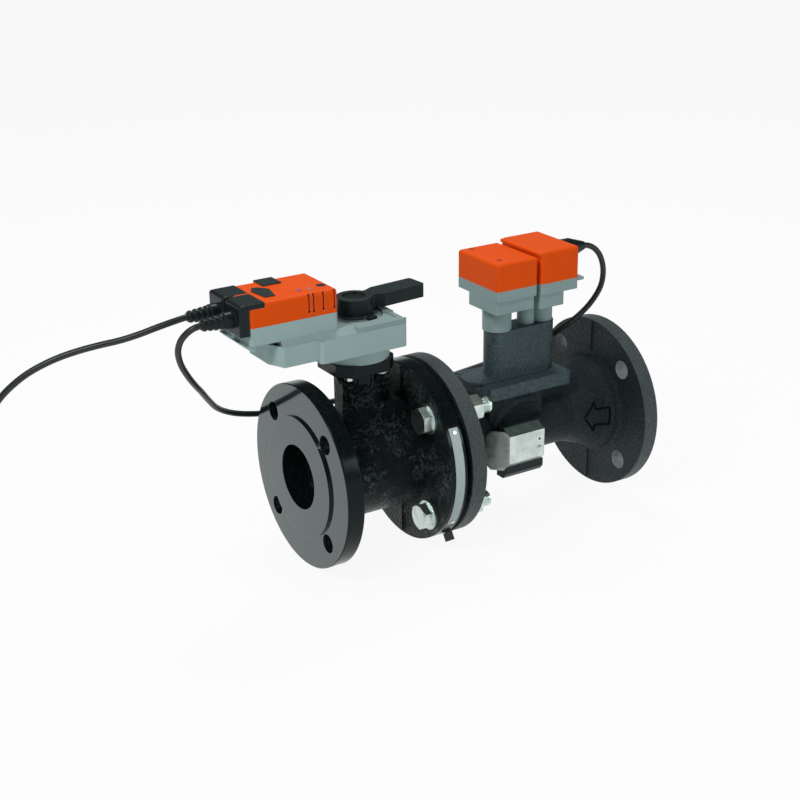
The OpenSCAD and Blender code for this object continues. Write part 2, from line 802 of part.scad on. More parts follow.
// Flow sensor
function sensor_line(r_end, r_mid) = [[sensor_x, r_end], [sensor_x + inlet_len, r_end],
    [sensor_x + inlet_len + cone_len, r_mid], [sensor_end - inlet_len - cone_len, r_mid],
    [sensor_end - inlet_len, r_end], [sensor_end, r_end]];
hub_a = rim_c + sensor_flange_t;
sensor_shape = concat([[sensor_x, 0]], rim(sensor_x, 1, sensor_flange_t), cove_at(hub_a, 1, hub_r),
    [[hub_a + hub_len, hub_mid_r], [hub_a + hub_reach, tube_r], [rim_d - hub_reach, tube_r],
    [rim_d - hub_len, hub_mid_r]], turned(cove_at(rim_d, -1, hub_r)),
    turned(rim(sensor_end, -1, sensor_flange_t)), [[sensor_end, 0]]);
sensor_bore = concat([[sensor_x - over, 0], [sensor_x - over, port_r + liner_wall]],
    sensor_line(port_r + liner_wall, liner_r + liner_wall),
    [[sensor_end + over, port_r + liner_wall], [sensor_end + over, 0]]);
screw_x = mid_x + cover_x[1] - cover_screw_x;
cover_in_y = cover_y[2] - cover_t;

module both_sides() {
    children();
    mirror([0, 1, 0]) children();
}

module sensor_body() color(paint) difference() {
    union() {
        revolve_x(sensor_shape);
        block([mid_x + block_x[0], -block_y, -block_low], [mid_x + block_x[1], block_y, platform_z]);
        block([mid_x + block_x[1] - over, -web_y, 0], [mid_x + web_x, web_y, platform_z]);
        both_sides() {
            block([mid_x + panel_x[0], -panel_y, ledge_z], [mid_x + panel_x[1], -block_y + over, platform_z]);
            translate([mid_x, 0, cover_z[3]]) linear_extrude(ledge_z - cover_z[3]) polygon([
                [cover_x[0] + cover_t, -block_y + over], [cover_x[0] + cover_t, -ledge_y], [ledge_x[1], -ledge_y],
                [ledge_x[2], -panel_y], [ledge_x[2], -block_y + over]]);
            translate([mid_x + duct_x, -block_y, duct_z]) rotate([90, 0, 0]) rotate([0, 0, duct_from])
                rotate_extrude(angle = duct_to - duct_from) translate([duct_bend, 0]) circle(r = duct_r);
            bar_y(-cover_in_y, -ledge_y, cover_screw_r, screw_x, cover_screw_z[0]);
        }
    }
    revolve_x(sensor_bore);
    flange_holes(rim_c, rim_c + sensor_flange_t, joint_hole_d);
    flange_holes(rim_d, rim_d + sensor_flange_t, bolt_hole_d);
    bar_y(-ledge_y - over, ledge_y + over, electrode_r, mid_x + electrode_x);
    both_sides() bar_y(-cover_in_y - over, -ledge_y, cover_shaft_r, screw_x, cover_screw_z[0]);
    ring_z(coil_z[0], platform_z + over, coil_in_r, coil_out_r, mid_x + electrode_x);
}

module tube_liner() color(dark) difference() {
    revolve_x(concat(sensor_line(port_r + liner_wall, liner_r + liner_wall),
        turned(sensor_line(port_r, liner_r))));
    bar_y(-port_r, port_r, electrode_r, mid_x + electrode_x);
}

module electrodes() color(steel) both_sides() {
    bar_y(-ledge_y, -liner_r, electrode_r, mid_x + electrode_x);
    bar_y(-ledge_y - electrode_head_h, -ledge_y, electrode_head_r, mid_x + electrode_x);
}

module magnet_coils() color(brass) ring_z(coil_z[0], coil_z[1], coil_in_r, coil_out_r, mid_x + electrode_x);

module electrode_covers() color(steel) both_sides() difference() {
    union() {
        end_prism([[-cover_y[1], cover_z[0]], [-cover_y[2], cover_z[1]], [-cover_y[2], cover_z[2]],
            [-cover_y[3], cover_z[3]], [-cover_y[1], cover_z[3]]], mid_x + cover_x[0], mid_x + cover_x[1]);
        block([mid_x + cover_x[0], -cover_y[1], cover_z[3]],
            [mid_x + cover_x[0] + cover_t, -cover_y[0], cover_z[0]]);
    }
    end_prism([[-cover_y[1], cover_z[0] - cover_t], [-cover_in_y, cover_z[1] - cover_t / 2],
        [-cover_in_y, cover_z[2] + cover_t / 2], [-cover_y[3] + cover_t / 2, cover_z[3] + cover_t],
        [-cover_y[1], cover_z[3] + cover_t]],
        mid_x + cover_x[0] + cover_t, mid_x + cover_x[1] - cover_t);
    for (z = cover_screw_z)
        bar_y(-cover_y[2] - over, -cover_in_y + over, cover_shaft_r, screw_x, z);
}

module electrode_trays() color(dark) both_sides() end_prism([
    [-cover_y[0], cover_z[3]], [-cover_y[3], cover_z[3]],
    [-tray_y[1], cover_z[3] + (cover_z[2] - cover_z[3]) * (tray_y[1] - cover_y[3]) / (cover_y[2] - cover_y[3])],
    [-tray_y[1], cover_z[3] - tray_t + tray_chamfer], [-tray_y[0], cover_z[3] - tray_t],
    [-cover_y[0], cover_z[3] - tray_t]], mid_x + tray_x[0], mid_x + tray_x[1]);

module cover_screws() color(zinc) both_sides() {
    revolve_at_y([[0, -cover_y[2] - cover_t], [cover_screw_r - edge, -cover_y[2] - cover_t],
        [cover_screw_r, -cover_y[2] - edge / 2], [cover_screw_r, -cover_y[2]], [cover_shaft_r, -cover_y[2]],
        [cover_shaft_r, -ledge_y - cover_t], [0, -ledge_y - cover_t]], screw_x, cover_screw_z[0]);
}

// Turned piece with its axis along Y: points are radius and Y
module revolve_at_y(profile, x, z) {
    translate([x, 0, z]) rotate([-90, 0, 0]) rotate_extrude() polygon(profile);
}

module sensor_platform() color(paint) {
    round_block([mid_x + platform_x[0], -panel_y, platform_z],
        [mid_x + platform_x[0] + platform_len, panel_y, platform_top], edge);
    block([mid_x + platform_x[0] - nub, -panel_y + nub, platform_z + nub],
        [mid_x + platform_x[0] + nub, panel_y - nub, platform_top - edge]);
}

pedestal_x = [cup_a_x, cup_b_x - trans_shift];

module stadium(z0, z1, r) {
    block([pedestal_x[0], -r, z0], [pedestal_x[1], r, z1]);
    for (x = pedestal_x)
        post(z0, z1, r, x);
}

module pedestal() color(paint) difference() {
    union() {
        translate([mid_x, 0, platform_top]) linear_extrude(foot_t) polygon([
            [foot_x[0], -foot_y + foot_cut], [foot_x[0] + foot_cut, -foot_y], [foot_x[1] - foot_cut, -foot_y],
            [foot_x[1], -foot_y + foot_cut], [foot_x[1], foot_y - foot_cut], [foot_x[1] - foot_cut, foot_y],
            [foot_x[0] + foot_cut, foot_y], [foot_x[0], foot_y - foot_cut]]);
        stadium(foot_top, pedestal_top, pedestal_r);
    }
    stadium(foot_top, pedestal_top - pedestal_lid, pedestal_r - pedestal_wall);
    post(pedestal_top - pedestal_lid - over, pedestal_top + over, cup_c_r - wall, cup_a_x);
    post(pedestal_top - pedestal_lid - over, pedestal_top + over, cup_c_r - wall, cup_b_x);
}

// Open tray: a block with its hollow open at the top
module open_tray(a, b, r, w) {
    difference() {
        round_block(a, b, r);
        round_block([a[0] + w, a[1] + w, a[2] + w], [b[0] - w, b[1] - w, b[2] + over], r - w / 2);
    }
}

module transmitter_base_a() color(grey) difference() {
    union() {
        round_block([trans_a_x, -trans_y / 2, shell_a_z], [trans_a_x + trans_a_len, trans_y / 2, cover_a_z],
            house_r);
        round_block([trans_a_x, -tier_near, tier_a_z], [trans_a_x + trans_a_len - wall, tier_far, shell_a_z],
            house_r);
        post(pedestal_top, tier_a_z, cup_a_r, cup_a_x);
    }
    round_block([trans_a_x + wall, -trans_y / 2 + wall, shell_a_z + wall],
        [trans_a_x + trans_a_len - wall, trans_y / 2 - wall, cover_a_z + over], house_r - wall / 2);
    round_block([trans_a_x + wall, -tier_near + wall, tier_a_z + wall],
        [trans_a_x + trans_a_len - 2 * wall, tier_far - wall, shell_a_z + wall + over], house_r - wall / 2);
    post(pedestal_top - over, tier_a_z + wall + over, cup_a_r - wall, cup_a_x);
}

module transmitter_base_b() color(grey) difference() {
    union() {
        round_block([trans_b_x, -trans_y / 2, shell_b_z], [trans_b_x + trans_b_len, trans_y / 2, cover_b_z],
            house_r);
        round_block([trans_b_x, -tier_near, tier_b_z], [trans_b_x + tier_b_len, tier_far, shell_b_z], house_r);
        post(pedestal_top, tier_b_z + over, cup_b_r, cup_b_x);
        post(pedestal_top, tier_b_z + over, cup_c_r, cup_c_x);
        block([trans_b_x + trans_b_len - over, port_y[0], cover_b_z + port_z[0]],
            [trans_b_x + trans_b_len + port_len, port_y[1], cover_b_z]);
    }
    round_block([trans_b_x + wall, -trans_y / 2 + wall, shell_b_z + wall],
        [trans_b_x + trans_b_len - wall, trans_y / 2 - wall, cover_b_z + over], house_r - wall / 2);
    round_block([trans_b_x + wall, -tier_near + wall, tier_b_z + wall],
        [trans_b_x + tier_b_len - wall, tier_far - wall, shell_b_z + wall + over], house_r - wall / 2);
    post(pedestal_top - over, tier_b_z + wall + over, cup_c_r - wall, cup_b_x);
}

module transmitter_cover_a() color(orange) difference() {
    soft_block([trans_a_x, -trans_y / 2, cover_a_z], [trans_a_x + trans_a_len, trans_y / 2, top_a_z], house_r);
    round_block([trans_a_x + wall, -trans_y / 2 + wall, cover_a_z - over],
        [trans_a_x + trans_a_len - wall, trans_y / 2 - wall, top_a_z - wall], house_r - wall / 2);
    for (y = recess_y)
        post(top_a_z - wall - over, top_a_z + over, recess_r, trans_a_x + recess_x, y);
}

module transmitter_cover_b() color(orange) difference() {
    union() {
        soft_block([trans_b_x, -trans_y / 2, cover_b_z], [trans_b_x + trans_b_len, trans_y / 2, top_b_z], house_r);
        soft_block([trans_b_x - lip_out, -trans_y / 2 + lip_out / 2, top_b_z - lip_h - edge],
            [trans_b_x + house_r, trans_y / 2 - lip_out / 2, top_b_z - edge], lip_out / 2);
    }
    round_block([trans_b_x + wall, -trans_y / 2 + wall, cover_b_z - over],
        [trans_b_x + trans_b_len - wall, trans_y / 2 - wall, top_b_z - wall], house_r - wall / 2);
    bar_x(trans_b_x + trans_b_len - wall - over, trans_b_x + trans_b_len + over, gland_core_r, gland_y,
        cover_b_z + gland_z);
}

module transmitter_board_a() color(green) block([trans_a_x + board_in, -trans_y / 2 + wall, cover_a_z + board_lift],
    [trans_a_x + trans_a_len - board_in, trans_y / 2 - wall, cover_a_z + board_lift + board_t]);

module transmitter_board_b() color(green) block([trans_b_x + board_in, -trans_y / 2 + wall, cover_b_z + board_low],
    [trans_b_x + trans_b_len - board_in, trans_y / 2 - wall, cover_b_z + board_low + board_t]);

module transmitter_screws() color(zinc)
    for (y = recess_y) {
        post(cover_a_z + board_lift + board_t, top_a_z - recess_deep, screw_shaft_r, trans_a_x + recess_x, y);
        post(top_a_z - recess_deep, top_a_z - recess_deep + edge, screw_head_r, trans_a_x + recess_x, y);
    }

module cable_gland() color(dark) translate([trans_b_x + trans_b_len, gland_y, cover_b_z + gland_z]) revolve_x([
    [-gland_flange_t, cable_d / 2 + gap], [-gland_flange_t, gland_core_r], [0, gland_core_r], [0, gland_flange_r],
    [gland_flange_t - edge, gland_flange_r], [gland_flange_t, gland_flange_r - edge], [gland_flange_t, gland_r],
    [gland_flange_t + gland_len, gland_r], [gland_flange_t + gland_len + gland_dome, gland_dome_r],
    [gland_flange_t + gland_len + gland_dome + gland_tip_len, gland_tip_r],
    [gland_flange_t + gland_len + gland_dome + gland_tip_len, cable_d / 2 + gap]]);

// Rotary drive
box = [stem_x + case_x[0], stem_x + case_x[1]];
case_half = gearbox_y / 2;
base_shape = [[box[0] + over, -base_y[1]], [stem_x + base_x[2], -base_y[1]], [stem_x + base_x[1], -base_y[0]],
    [stem_x + base_x[0], -base_y[0] + edge], [stem_x + base_x[0], base_y[0] - edge],
    [stem_x + base_x[1], base_y[0]], [stem_x + base_x[2], base_y[1]], [box[0] + over, base_y[1]]];
base_hollow = [[box[0] + case_wall + over, -base_y[1] + case_wall],
    [stem_x + base_x[2] + case_wall / 2, -base_y[1] + case_wall],
    [stem_x + base_x[1] + case_wall, -base_y[0] + case_wall / 4],
    [stem_x + base_x[1] + case_wall, base_y[0] - case_wall / 4],
    [stem_x + base_x[2] + case_wall / 2, base_y[1] - case_wall],
    [box[0] + case_wall + over, base_y[1] - case_wall]];
floor_z = case_z + case_floor;

module gear_case() color(grey) difference() {
    union() {
        post(plate_top, case_z + case_floor, collar_d / 2, stem_x);
        round_block([box[0], -case_half, case_z], [box[1], case_half, case_top], case_round);
        translate([0, 0, case_z + base_lift]) linear_extrude(gearbox_h - base_lift) polygon(base_shape);
    }
    round_block([box[0] + case_wall, -case_half + case_wall, floor_z],
        [box[1] - case_wall, case_half - case_wall, case_top + over], case_round - case_wall / 2);
    translate([0, 0, case_z + base_lift + base_floor]) linear_extrude(gearbox_h) polygon(base_hollow);
    post(plate_top - over, floor_z + over, hub_out_r + run_gap, stem_x);
    at_screws() post(plate_top - over, plate_top + screw_reach, screw_r);
}

// Lid: sloping shoulders over the base, a flat raised end round the stem
module gear_lid() color(grey) difference() {
    union() {
        end_prism([[-base_y[1], case_top], [-base_y[1] + lid_in, drive_z], [base_y[1] - lid_in, drive_z],
            [base_y[1], case_top]], stem_x + base_x[2], stem_x + lid_step_x + over);
        end_prism([[-case_half, case_top], [-base_y[1] + lid_in, drive_z], [base_y[1] - lid_in, drive_z],
            [case_half, case_top]], box[0], stem_x + lid_step_x + over);
        block([stem_x + base_x[1], -base_y[0], case_top], [stem_x + base_x[2] + over, base_y[0], drive_z]);
        round_block([stem_x + lid_step_x, -case_half, case_top], [box[1], case_half, drive_z + lid_up], case_round);
    }
    post(case_top + recess_lid_z, drive_z + 2 * lid_up, recess_lid_r, stem_x);
    post(case_top - over, drive_z, lid_hole_r, stem_x);
    post(case_top - over, drive_z + over, axle_r + gap, motor_x);
    block([stem_x + groove[0], -groove_y, drive_z + lid_up - cutout_deep],
        [stem_x + groove[1], -groove_y + case_half / 2, drive_z + lid_up + over]);
    block([stem_x + cutout[0], -cutout_y[1], drive_z + lid_up - cutout_deep],
        [stem_x + cutout[1], -cutout_y[0], drive_z + lid_up + over]);
}

module gear_axles() color(steel) {
    post(floor_z, case_top, axle_r, gear_a_x);
    post(case_z + base_lift + base_floor, case_top, axle_r, gear_b_x);
}

module output_hub() color(steel) difference() {
    union() {
        post(plate_top + hub_low, lever_z, hub_out_r, stem_x);
        block([stem_x - spigot_w / 2, -spigot_w / 2, lever_z], [stem_x + spigot_w / 2, spigot_w / 2,
            lever_z + spigot_h]);
    }
    block([stem_x - square_w / 2, -square_w / 2, plate_top], [stem_x + square_w / 2, square_w / 2,
        case_top - hub_low]);
}

module output_gear() color(steel)
    gear(teeth_out, 0, case_z + layer_a[0], case_z + layer_a[1], hub_out_r, stem_x);

module gear_a() color(steel) {
    gear(teeth_pinion, 180 / teeth_pinion, case_z + layer_a[0] - pinion_play, case_z + layer_b[0],
        axle_r + run_gap, gear_a_x);
    gear(teeth_a, 0, case_z + layer_b[0], case_z + layer_b[1], axle_r + run_gap, gear_a_x);
}

module gear_b() color(steel) {
    gear(teeth_pinion, 180 / teeth_pinion, case_z + layer_b[0] - pinion_play, case_z + layer_c[0],
        axle_r + run_gap, gear_b_x);
    gear(teeth_b, 0, case_z + layer_c[0], case_z + layer_c[1], axle_r + run_gap, gear_b_x);
}

module motor_pinion() color(brass)
    gear(teeth_pinion, 180 / teeth_pinion, case_z + layer_c[0] - pinion_play, case_z + layer_c[1] + pinion_play,
        shaft_r, motor_x);

can_z = drive_z + shell_floor;

module motor_rotor() color(steel) {
    post(case_z + layer_c[0] - pinion_play, can_z + motor_h - motor_wall, shaft_r, motor_x);
    post(can_z + rotor_in, can_z + motor_h - rotor_in, rotor_r, motor_x);
}

module motor_can() color(zinc) difference() {
    post(can_z, can_z + motor_h, motor_r, motor_x);
    post(can_z + motor_wall, can_z + motor_h - motor_wall, motor_r - motor_wall, motor_x);
    post(can_z - over, can_z + motor_wall + over, shaft_r + run_gap, motor_x);
}

module drive_board() color(green) block([stem_x + drive_start + board_in + plug_over, -drive_half + wall,
    drive_mid + board_up], [stem_x + drive_end - board_in, drive_half - wall, drive_mid + board_up + board_t]);

module drive_shell() color(grey) difference() {
    union() {
        round_block([stem_x + drive_start, -drive_half, drive_z], [stem_x + drive_end, drive_half, drive_mid],
            drive_round);
        side_prism([[stem_x + skirt[0], drive_z], [stem_x + skirt[0] + skirt_h, drive_z - skirt_h],
            [stem_x + skirt[1], drive_z - skirt_h], [stem_x + skirt[1], drive_z]], -skirt_y, skirt_y);
    }
    round_block([stem_x + drive_start + wall, -drive_half + wall, drive_z + shell_floor],
        [stem_x + drive_end - wall, drive_half - wall, drive_mid + over], drive_round - wall / 2);
    post(drive_z - over, can_z + over, axle_r + gap, motor_x);
    for (p = [plug_near, plug_far])
        block([stem_x + drive_start - over, p[0] + wall, drive_z + plug_low + wall],
            [stem_x + drive_start + wall + over, min(p[1], drive_half) - wall, drive_mid + over]);
}

module drive_cover() color(orange) difference() {
    soft_block([stem_x + drive_start, -drive_half, drive_mid], [stem_x + drive_end, drive_half, drive_top],
        drive_round);
    round_block([stem_x + drive_start + wall, -drive_half + wall, drive_mid - over],
        [stem_x + drive_end - wall, drive_half - wall, drive_top - wall], drive_round - wall / 2);
    block([stem_x + drive_start - over, -drive_half - over, drive_top - plug_lid],
        [stem_x + drive_start + plug_over, plug_near[1], drive_top + over]);
    block([stem_x + drive_start - over, plug_far[0], drive_top - plug_lid],
        [stem_x + drive_start + plug_over, drive_half + over, drive_top + over]);
    for (p = [plug_near, plug_far])
        block([stem_x + drive_start - over, p[0] + wall, drive_mid - over],
            [stem_x + drive_start + wall + over, min(p[1], drive_half) - wall, drive_top - plug_lid - over]);
    block([stem_x + button[0] - gap, button_y[0] - gap, catch_z - catch_t - button_travel - gap],
        [stem_x + button[1] + gap, button_y[1] + gap, drive_top + over]);
    for (i = [0, 1])
        post(drive_top - wall - over, drive_top + over, key_r + run_gap, stem_x + key_x[i], key_y[i]);
    post(drive_top - wall - over, drive_top + over, dial_r + run_gap, stem_x + dial_x, dial_y);
    for (x = vent_x) {
        block([stem_x + x - vent_w / 2, -drive_half - over, drive_mid + vent_low],
            [stem_x + x + vent_w / 2, -drive_half + wall + over, drive_mid + vent_high]);
        for (z = [vent_low, vent_high])
            bar_y(-drive_half - over, -drive_half + wall + over, vent_bulb_r, stem_x + x, drive_mid + z);
    }
}

module scale_ring() color(dark) ring_z(case_top + recess_lid_z, case_top + recess_lid_z + scale_t, scale_in,
    scale_out, stem_x);

module end_stops() color(dark)
    for (a = stop_at)
        translate([stem_x, 0, case_top + recess_lid_z + scale_t]) rotate([0, 0, a])
            block([stop_in, -stop_w / 2, 0], [scale_out, stop_w / 2, stop_h]);

// Hand lever: a dished hub and an arm that narrows beside the hub
module hand_lever() color(dark) translate([stem_x, 0, 0]) rotate([0, 0, lever_angle]) difference() {
    union() {
        post(lever_z, lever_z + lever_h, lever_hub_r);
        translate([0, 0, lever_z + lever_under]) linear_extrude(lever_h - lever_under) polygon([
            [0, -lever_waist], [lever_waist_x, -lever_waist], [lever_wide_x, -lever_half],
            [lever_len - lever_cut, -lever_half], [lever_len, -lever_half + lever_cut],
            [lever_len, lever_half - lever_cut], [lever_len - lever_cut, lever_half],
            [lever_wide_x, lever_half], [lever_waist_x, lever_waist], [0, lever_waist]]);
    }
    post(lever_z + lever_h - lever_dish, lever_z + lever_h + over, lever_dish_r);
    rotate([0, 0, -lever_angle]) block([-spigot_w / 2, -spigot_w / 2, lever_z - over],
        [spigot_w / 2, spigot_w / 2, lever_z + spigot_h]);
    for (s = [-1, 1])
        post(lever_z + lever_h - lever_hole_deep, lever_z + lever_h + over, lever_hole_r, lever_hole_x,
            s * lever_hole_y);
    for (s = [-1, 1])
        block([lever_seam_x, s * lever_half - lever_seam / 2, lever_z],
            [lever_seam_x + lever_seam, s * lever_half + lever_seam / 2, lever_z + lever_h + over]);
    block([lever_seam_x, -lever_half - over, lever_z + lever_h - lever_seam],
        [lever_seam_x + lever_seam, lever_half + over, lever_z + lever_h + over]);
}

module service_hatch() color(dark) translate([stem_x, 0, drive_top]) linear_extrude(hatch_t)
    polygon([for (i = [0:len(hatch_shape_x) - 1]) [hatch_shape_x[i], hatch_shape_y[i]]]);

module release_button() color(dark) {
    block([stem_x + button[0], button_y[0], catch_z - catch_t],
        [stem_x + button[1], button_y[1], drive_top + button_rise]);
    block([stem_x + button[0] - catch_w, button_y[0] - catch_w, catch_z - catch_t],
        [stem_x + button[1] + catch_w, drive_half - wall - gap, catch_z]);
}

module key(i) {
    post(catch_z - catch_t, drive_top + key_rise, key_r, stem_x + key_x[i], key_y[i]);
    post(catch_z - catch_t, catch_z, key_r + catch_w, stem_x + key_x[i], key_y[i]);
}

module key_one() color(grey) key(0);

module key_two() color(grey) key(1);

module direction_switch() color(dark) difference() {
    union() {
        post(catch_z - catch_t, drive_top, dial_r, stem_x + dial_x, dial_y);
        post(catch_z - catch_t, catch_z, dial_r + dial_catch, stem_x + dial_x, dial_y);
    }
    block([stem_x + dial_x - dial_r + edge, dial_y - dial_slot / 2, drive_top - dial_slot_deep],
        [stem_x + dial_x + dial_r - edge, dial_y + dial_slot / 2, drive_top + over]);
}

// Point of a sleeve's outline at share u of its tapered length, raised by a rib
function sleeve_point(u, rib_h) = [sleeve_root + (sleeve_len - sleeve_root) * u,
    sleeve_r + (sleeve_end_r - sleeve_r) * (sleeve_root_share + (1 - sleeve_root_share) * u) + rib_h];

// Plug: a block on the end of the drive with a lid over its top and a ribbed sleeve
module plug(p, y, s) {
    x = stem_x + drive_start;
    difference() {
        union() {
            soft_block([x - plug_out, p[0], drive_z + plug_low + shell_gap], [x, p[1], drive_top], plug_round);
            block([x - plug_round - over, p[0], drive_z + plug_low + shell_gap], [x, p[1], drive_top - plug_lid]);
            block([x - plug_round - over, s < 0 ? -drive_half : p[0], drive_top - plug_lid],
                [x + plug_over, s < 0 ? p[1] : drive_half, drive_top + plug_top]);
            translate([x - plug_out, y, sleeve_z]) rotate([0, 0, 180]) revolve_x(concat(
                [[-wall, cable_d / 2 + gap], [-wall, sleeve_r], [sleeve_root, sleeve_r]],
                [for (k = [0:sleeve_ribs - 1]) for (q = [0, 1, 2, 3])
                    sleeve_point((k + sleeve_rib_shares[q]) / sleeve_ribs, q == 1 || q == 2 ? sleeve_rib_h : 0)],
                [[sleeve_len, sleeve_end_r], [sleeve_len, cable_d / 2 + gap]]));
        }
        bar_x(x - plug_out - over, x - wall, cable_d / 2 + gap, y, sleeve_z);
    }
}

module near_plug() color(dark) plug(plug_near, sleeve_near_y, -1);

module far_plug() color(dark) plug(plug_far, sleeve_far_y, 1);

// Cords
module sensor_cord() color(dark) run_tube(sensor_route, cable_d / 2, 8);

module supply_cord() color(dark) run_tube(supply_route, cable_d / 2, 8);

module supply_coil() color(dark) run_tube(coil_route, cable_d / 2, 6);

coil_inner = coil_out_turn - coil_pitch * coil_turns;
tie_in = coil_inner - cable_d / 2 - tie_t;
tie_out = coil_out_turn + cable_d / 2 + tie_t;

module coil_tie() color(rubber) translate([coil_mid[0], coil_mid[1], coil_from[2] - cable_d / 2 - tie_t])
    rotate([0, 0, tie_turn])
    difference() {
        block([tie_in, -tie_w / 2, 0], [tie_out, tie_w / 2, cable_d + 2 * tie_t]);
        block([tie_in + tie_t, -tie_w / 2 - over, tie_t], [tie_out - tie_t, tie_w / 2 + over, cable_d + tie_t]);
    }

coil_side = [-coil_run[1], coil_run[0], 0];
wire_turn = -60;
wire_run = [coil_run[0] * cos(wire_turn) - coil_run[1] * sin(wire_turn),
    coil_run[0] * sin(wire_turn) + coil_run[1] * cos(wire_turn), 0];
wire_side = [-wire_run[1], wire_run[0], 0];

module supply_wires() color(white)
    for (k = [-1, 0, 1]) {
        a = coil_end + coil_side * wire_r * 2 * k + coil_run * gap;
        b = coil_end + wire_side * wire_apart * k + (coil_run + wire_run) * (wire_len / 6);
        c = b + wire_run * (wire_len / 3 + wire_r * k * k);
        d = c + wire_run * (wire_len / 3);
        run_tube([a, a + coil_run * (wire_len / 9), b, c, d], wire_r, 8);
        run_tube([d, d + wire_run * ferrule_len / 2, d + wire_run * ferrule_len], ferrule_r, 8);
    }

echo(coil_gap_mm = coil_gap);

valve_body();
body_insert();
ball_seats();
stem_bushes();
stem_seals();
data_plate();
plate_rivets();
ball();
stem();
mounting_screws();
joint_gasket();
joint_bolts();
joint_nuts();
joint_washers();
sensor_body();
tube_liner();
electrodes();
magnet_coils();
electrode_covers();
electrode_trays();
cover_screws();
sensor_platform();
pedestal();
transmitter_base_a();
transmitter_base_b();
transmitter_cover_a();
transmitter_cover_b();
transmitter_board_a();
transmitter_board_b();
transmitter_screws();
cable_gland();
gear_case();
gear_lid();
gear_axles();
output_hub();
output_gear();
gear_a();
gear_b();
motor_pinion();
motor_rotor();
motor_can();
drive_board();
drive_shell();
drive_cover();
scale_ring();
end_stops();
hand_lever();
service_hatch();
release_button();
key_one();
key_two();
direction_switch();
near_plug();
far_plug();
sensor_cord();
supply_cord();
supply_coil();
coil_tie();
supply_wires();
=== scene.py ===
"""Dresses the flanged control valve: finishes, two cables, cast lines, cover flaps and a stage."""
import json
import math

import bpy
import numpy as np
from mathutils import Matrix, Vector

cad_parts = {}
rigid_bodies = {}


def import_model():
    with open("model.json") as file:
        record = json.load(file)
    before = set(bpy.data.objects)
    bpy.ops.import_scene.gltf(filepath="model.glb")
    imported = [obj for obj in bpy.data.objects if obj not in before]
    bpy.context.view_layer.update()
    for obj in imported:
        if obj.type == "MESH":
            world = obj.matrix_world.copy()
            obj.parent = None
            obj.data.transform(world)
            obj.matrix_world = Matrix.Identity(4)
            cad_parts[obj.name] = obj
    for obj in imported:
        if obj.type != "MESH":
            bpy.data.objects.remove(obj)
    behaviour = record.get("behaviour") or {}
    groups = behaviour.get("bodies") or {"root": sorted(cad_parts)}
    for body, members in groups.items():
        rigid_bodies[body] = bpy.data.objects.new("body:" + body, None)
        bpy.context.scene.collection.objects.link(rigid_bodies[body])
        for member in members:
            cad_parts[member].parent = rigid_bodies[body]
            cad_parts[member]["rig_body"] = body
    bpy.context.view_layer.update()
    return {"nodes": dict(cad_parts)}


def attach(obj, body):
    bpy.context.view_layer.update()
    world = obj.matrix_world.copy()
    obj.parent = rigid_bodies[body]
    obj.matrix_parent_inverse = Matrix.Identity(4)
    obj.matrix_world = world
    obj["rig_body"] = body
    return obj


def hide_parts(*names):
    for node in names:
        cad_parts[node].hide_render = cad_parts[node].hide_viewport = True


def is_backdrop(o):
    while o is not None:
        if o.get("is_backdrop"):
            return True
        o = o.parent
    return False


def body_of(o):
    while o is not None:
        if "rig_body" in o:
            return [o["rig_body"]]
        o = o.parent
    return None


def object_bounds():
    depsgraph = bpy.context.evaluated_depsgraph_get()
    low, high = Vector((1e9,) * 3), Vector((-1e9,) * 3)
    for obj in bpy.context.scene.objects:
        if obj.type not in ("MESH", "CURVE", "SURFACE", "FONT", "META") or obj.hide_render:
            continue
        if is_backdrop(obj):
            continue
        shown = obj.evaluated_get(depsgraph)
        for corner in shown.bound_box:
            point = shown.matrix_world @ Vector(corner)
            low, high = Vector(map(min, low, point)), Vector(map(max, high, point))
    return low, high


bl_info = {
    "name": "Flanged Control Valve",
    "version": (1, 0, 0),
    "blender": (4, 5, 0),
    "location": "View3D > Sidebar > Valve",
    "description": "Finishes, cables and stage for a motorised ball valve with a flow sensor",
    "category": "Object",
}

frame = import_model()
MM = 0.001

# Centre line of the sensor cable, near plug to far gland, in millimetres
SENSOR_ROUTE = np.array([
    [-92, -15, 178], [-99.5, -15, 178], [-107, -13.5, 175.5], [-112.5, -10, 170],
    [-115.5, -5, 162], [-115, 1.5, 150], [-109.5, 8.5, 135], [-100, 16, 119.5],
    [-89.5, 26.5, 106], [-79, 38.5, 94], [-69, 51, 82], [-59, 63.5, 70.5],
    [-48, 75.5, 58.5], [-34.5, 85, 48], [-18, 91.5, 39.5], [1, 95, 33.5],
    [20.5, 96, 30], [40, 97, 27.5], [60, 98, 26], [80, 98.5, 25],
    [99.5, 99, 24.5], [119.5, 99.5, 24], [139.5, 99.5, 23.5], [159.5, 98.5, 23.5],
    [179.5, 97.5, 23], [199, 95.5, 23.5], [218.5, 92, 25], [238, 87, 27.5],
    [256, 81, 32], [273.5, 73, 38], [289, 63.5, 46], [302.5, 52, 55],
    [313.5, 38.5, 64.5], [323, 24.5, 75.5], [332, 12, 87.5], [342.5, 1.5, 100.5],
    [354, -5, 115.5], [363.5, -7, 131], [367.5, -5.5, 145.5], [366.5, -3.5, 158],
    [362, -2, 167.5], [354.5, -0.5, 174], [344, 0, 177], [328, 0, 177],
])
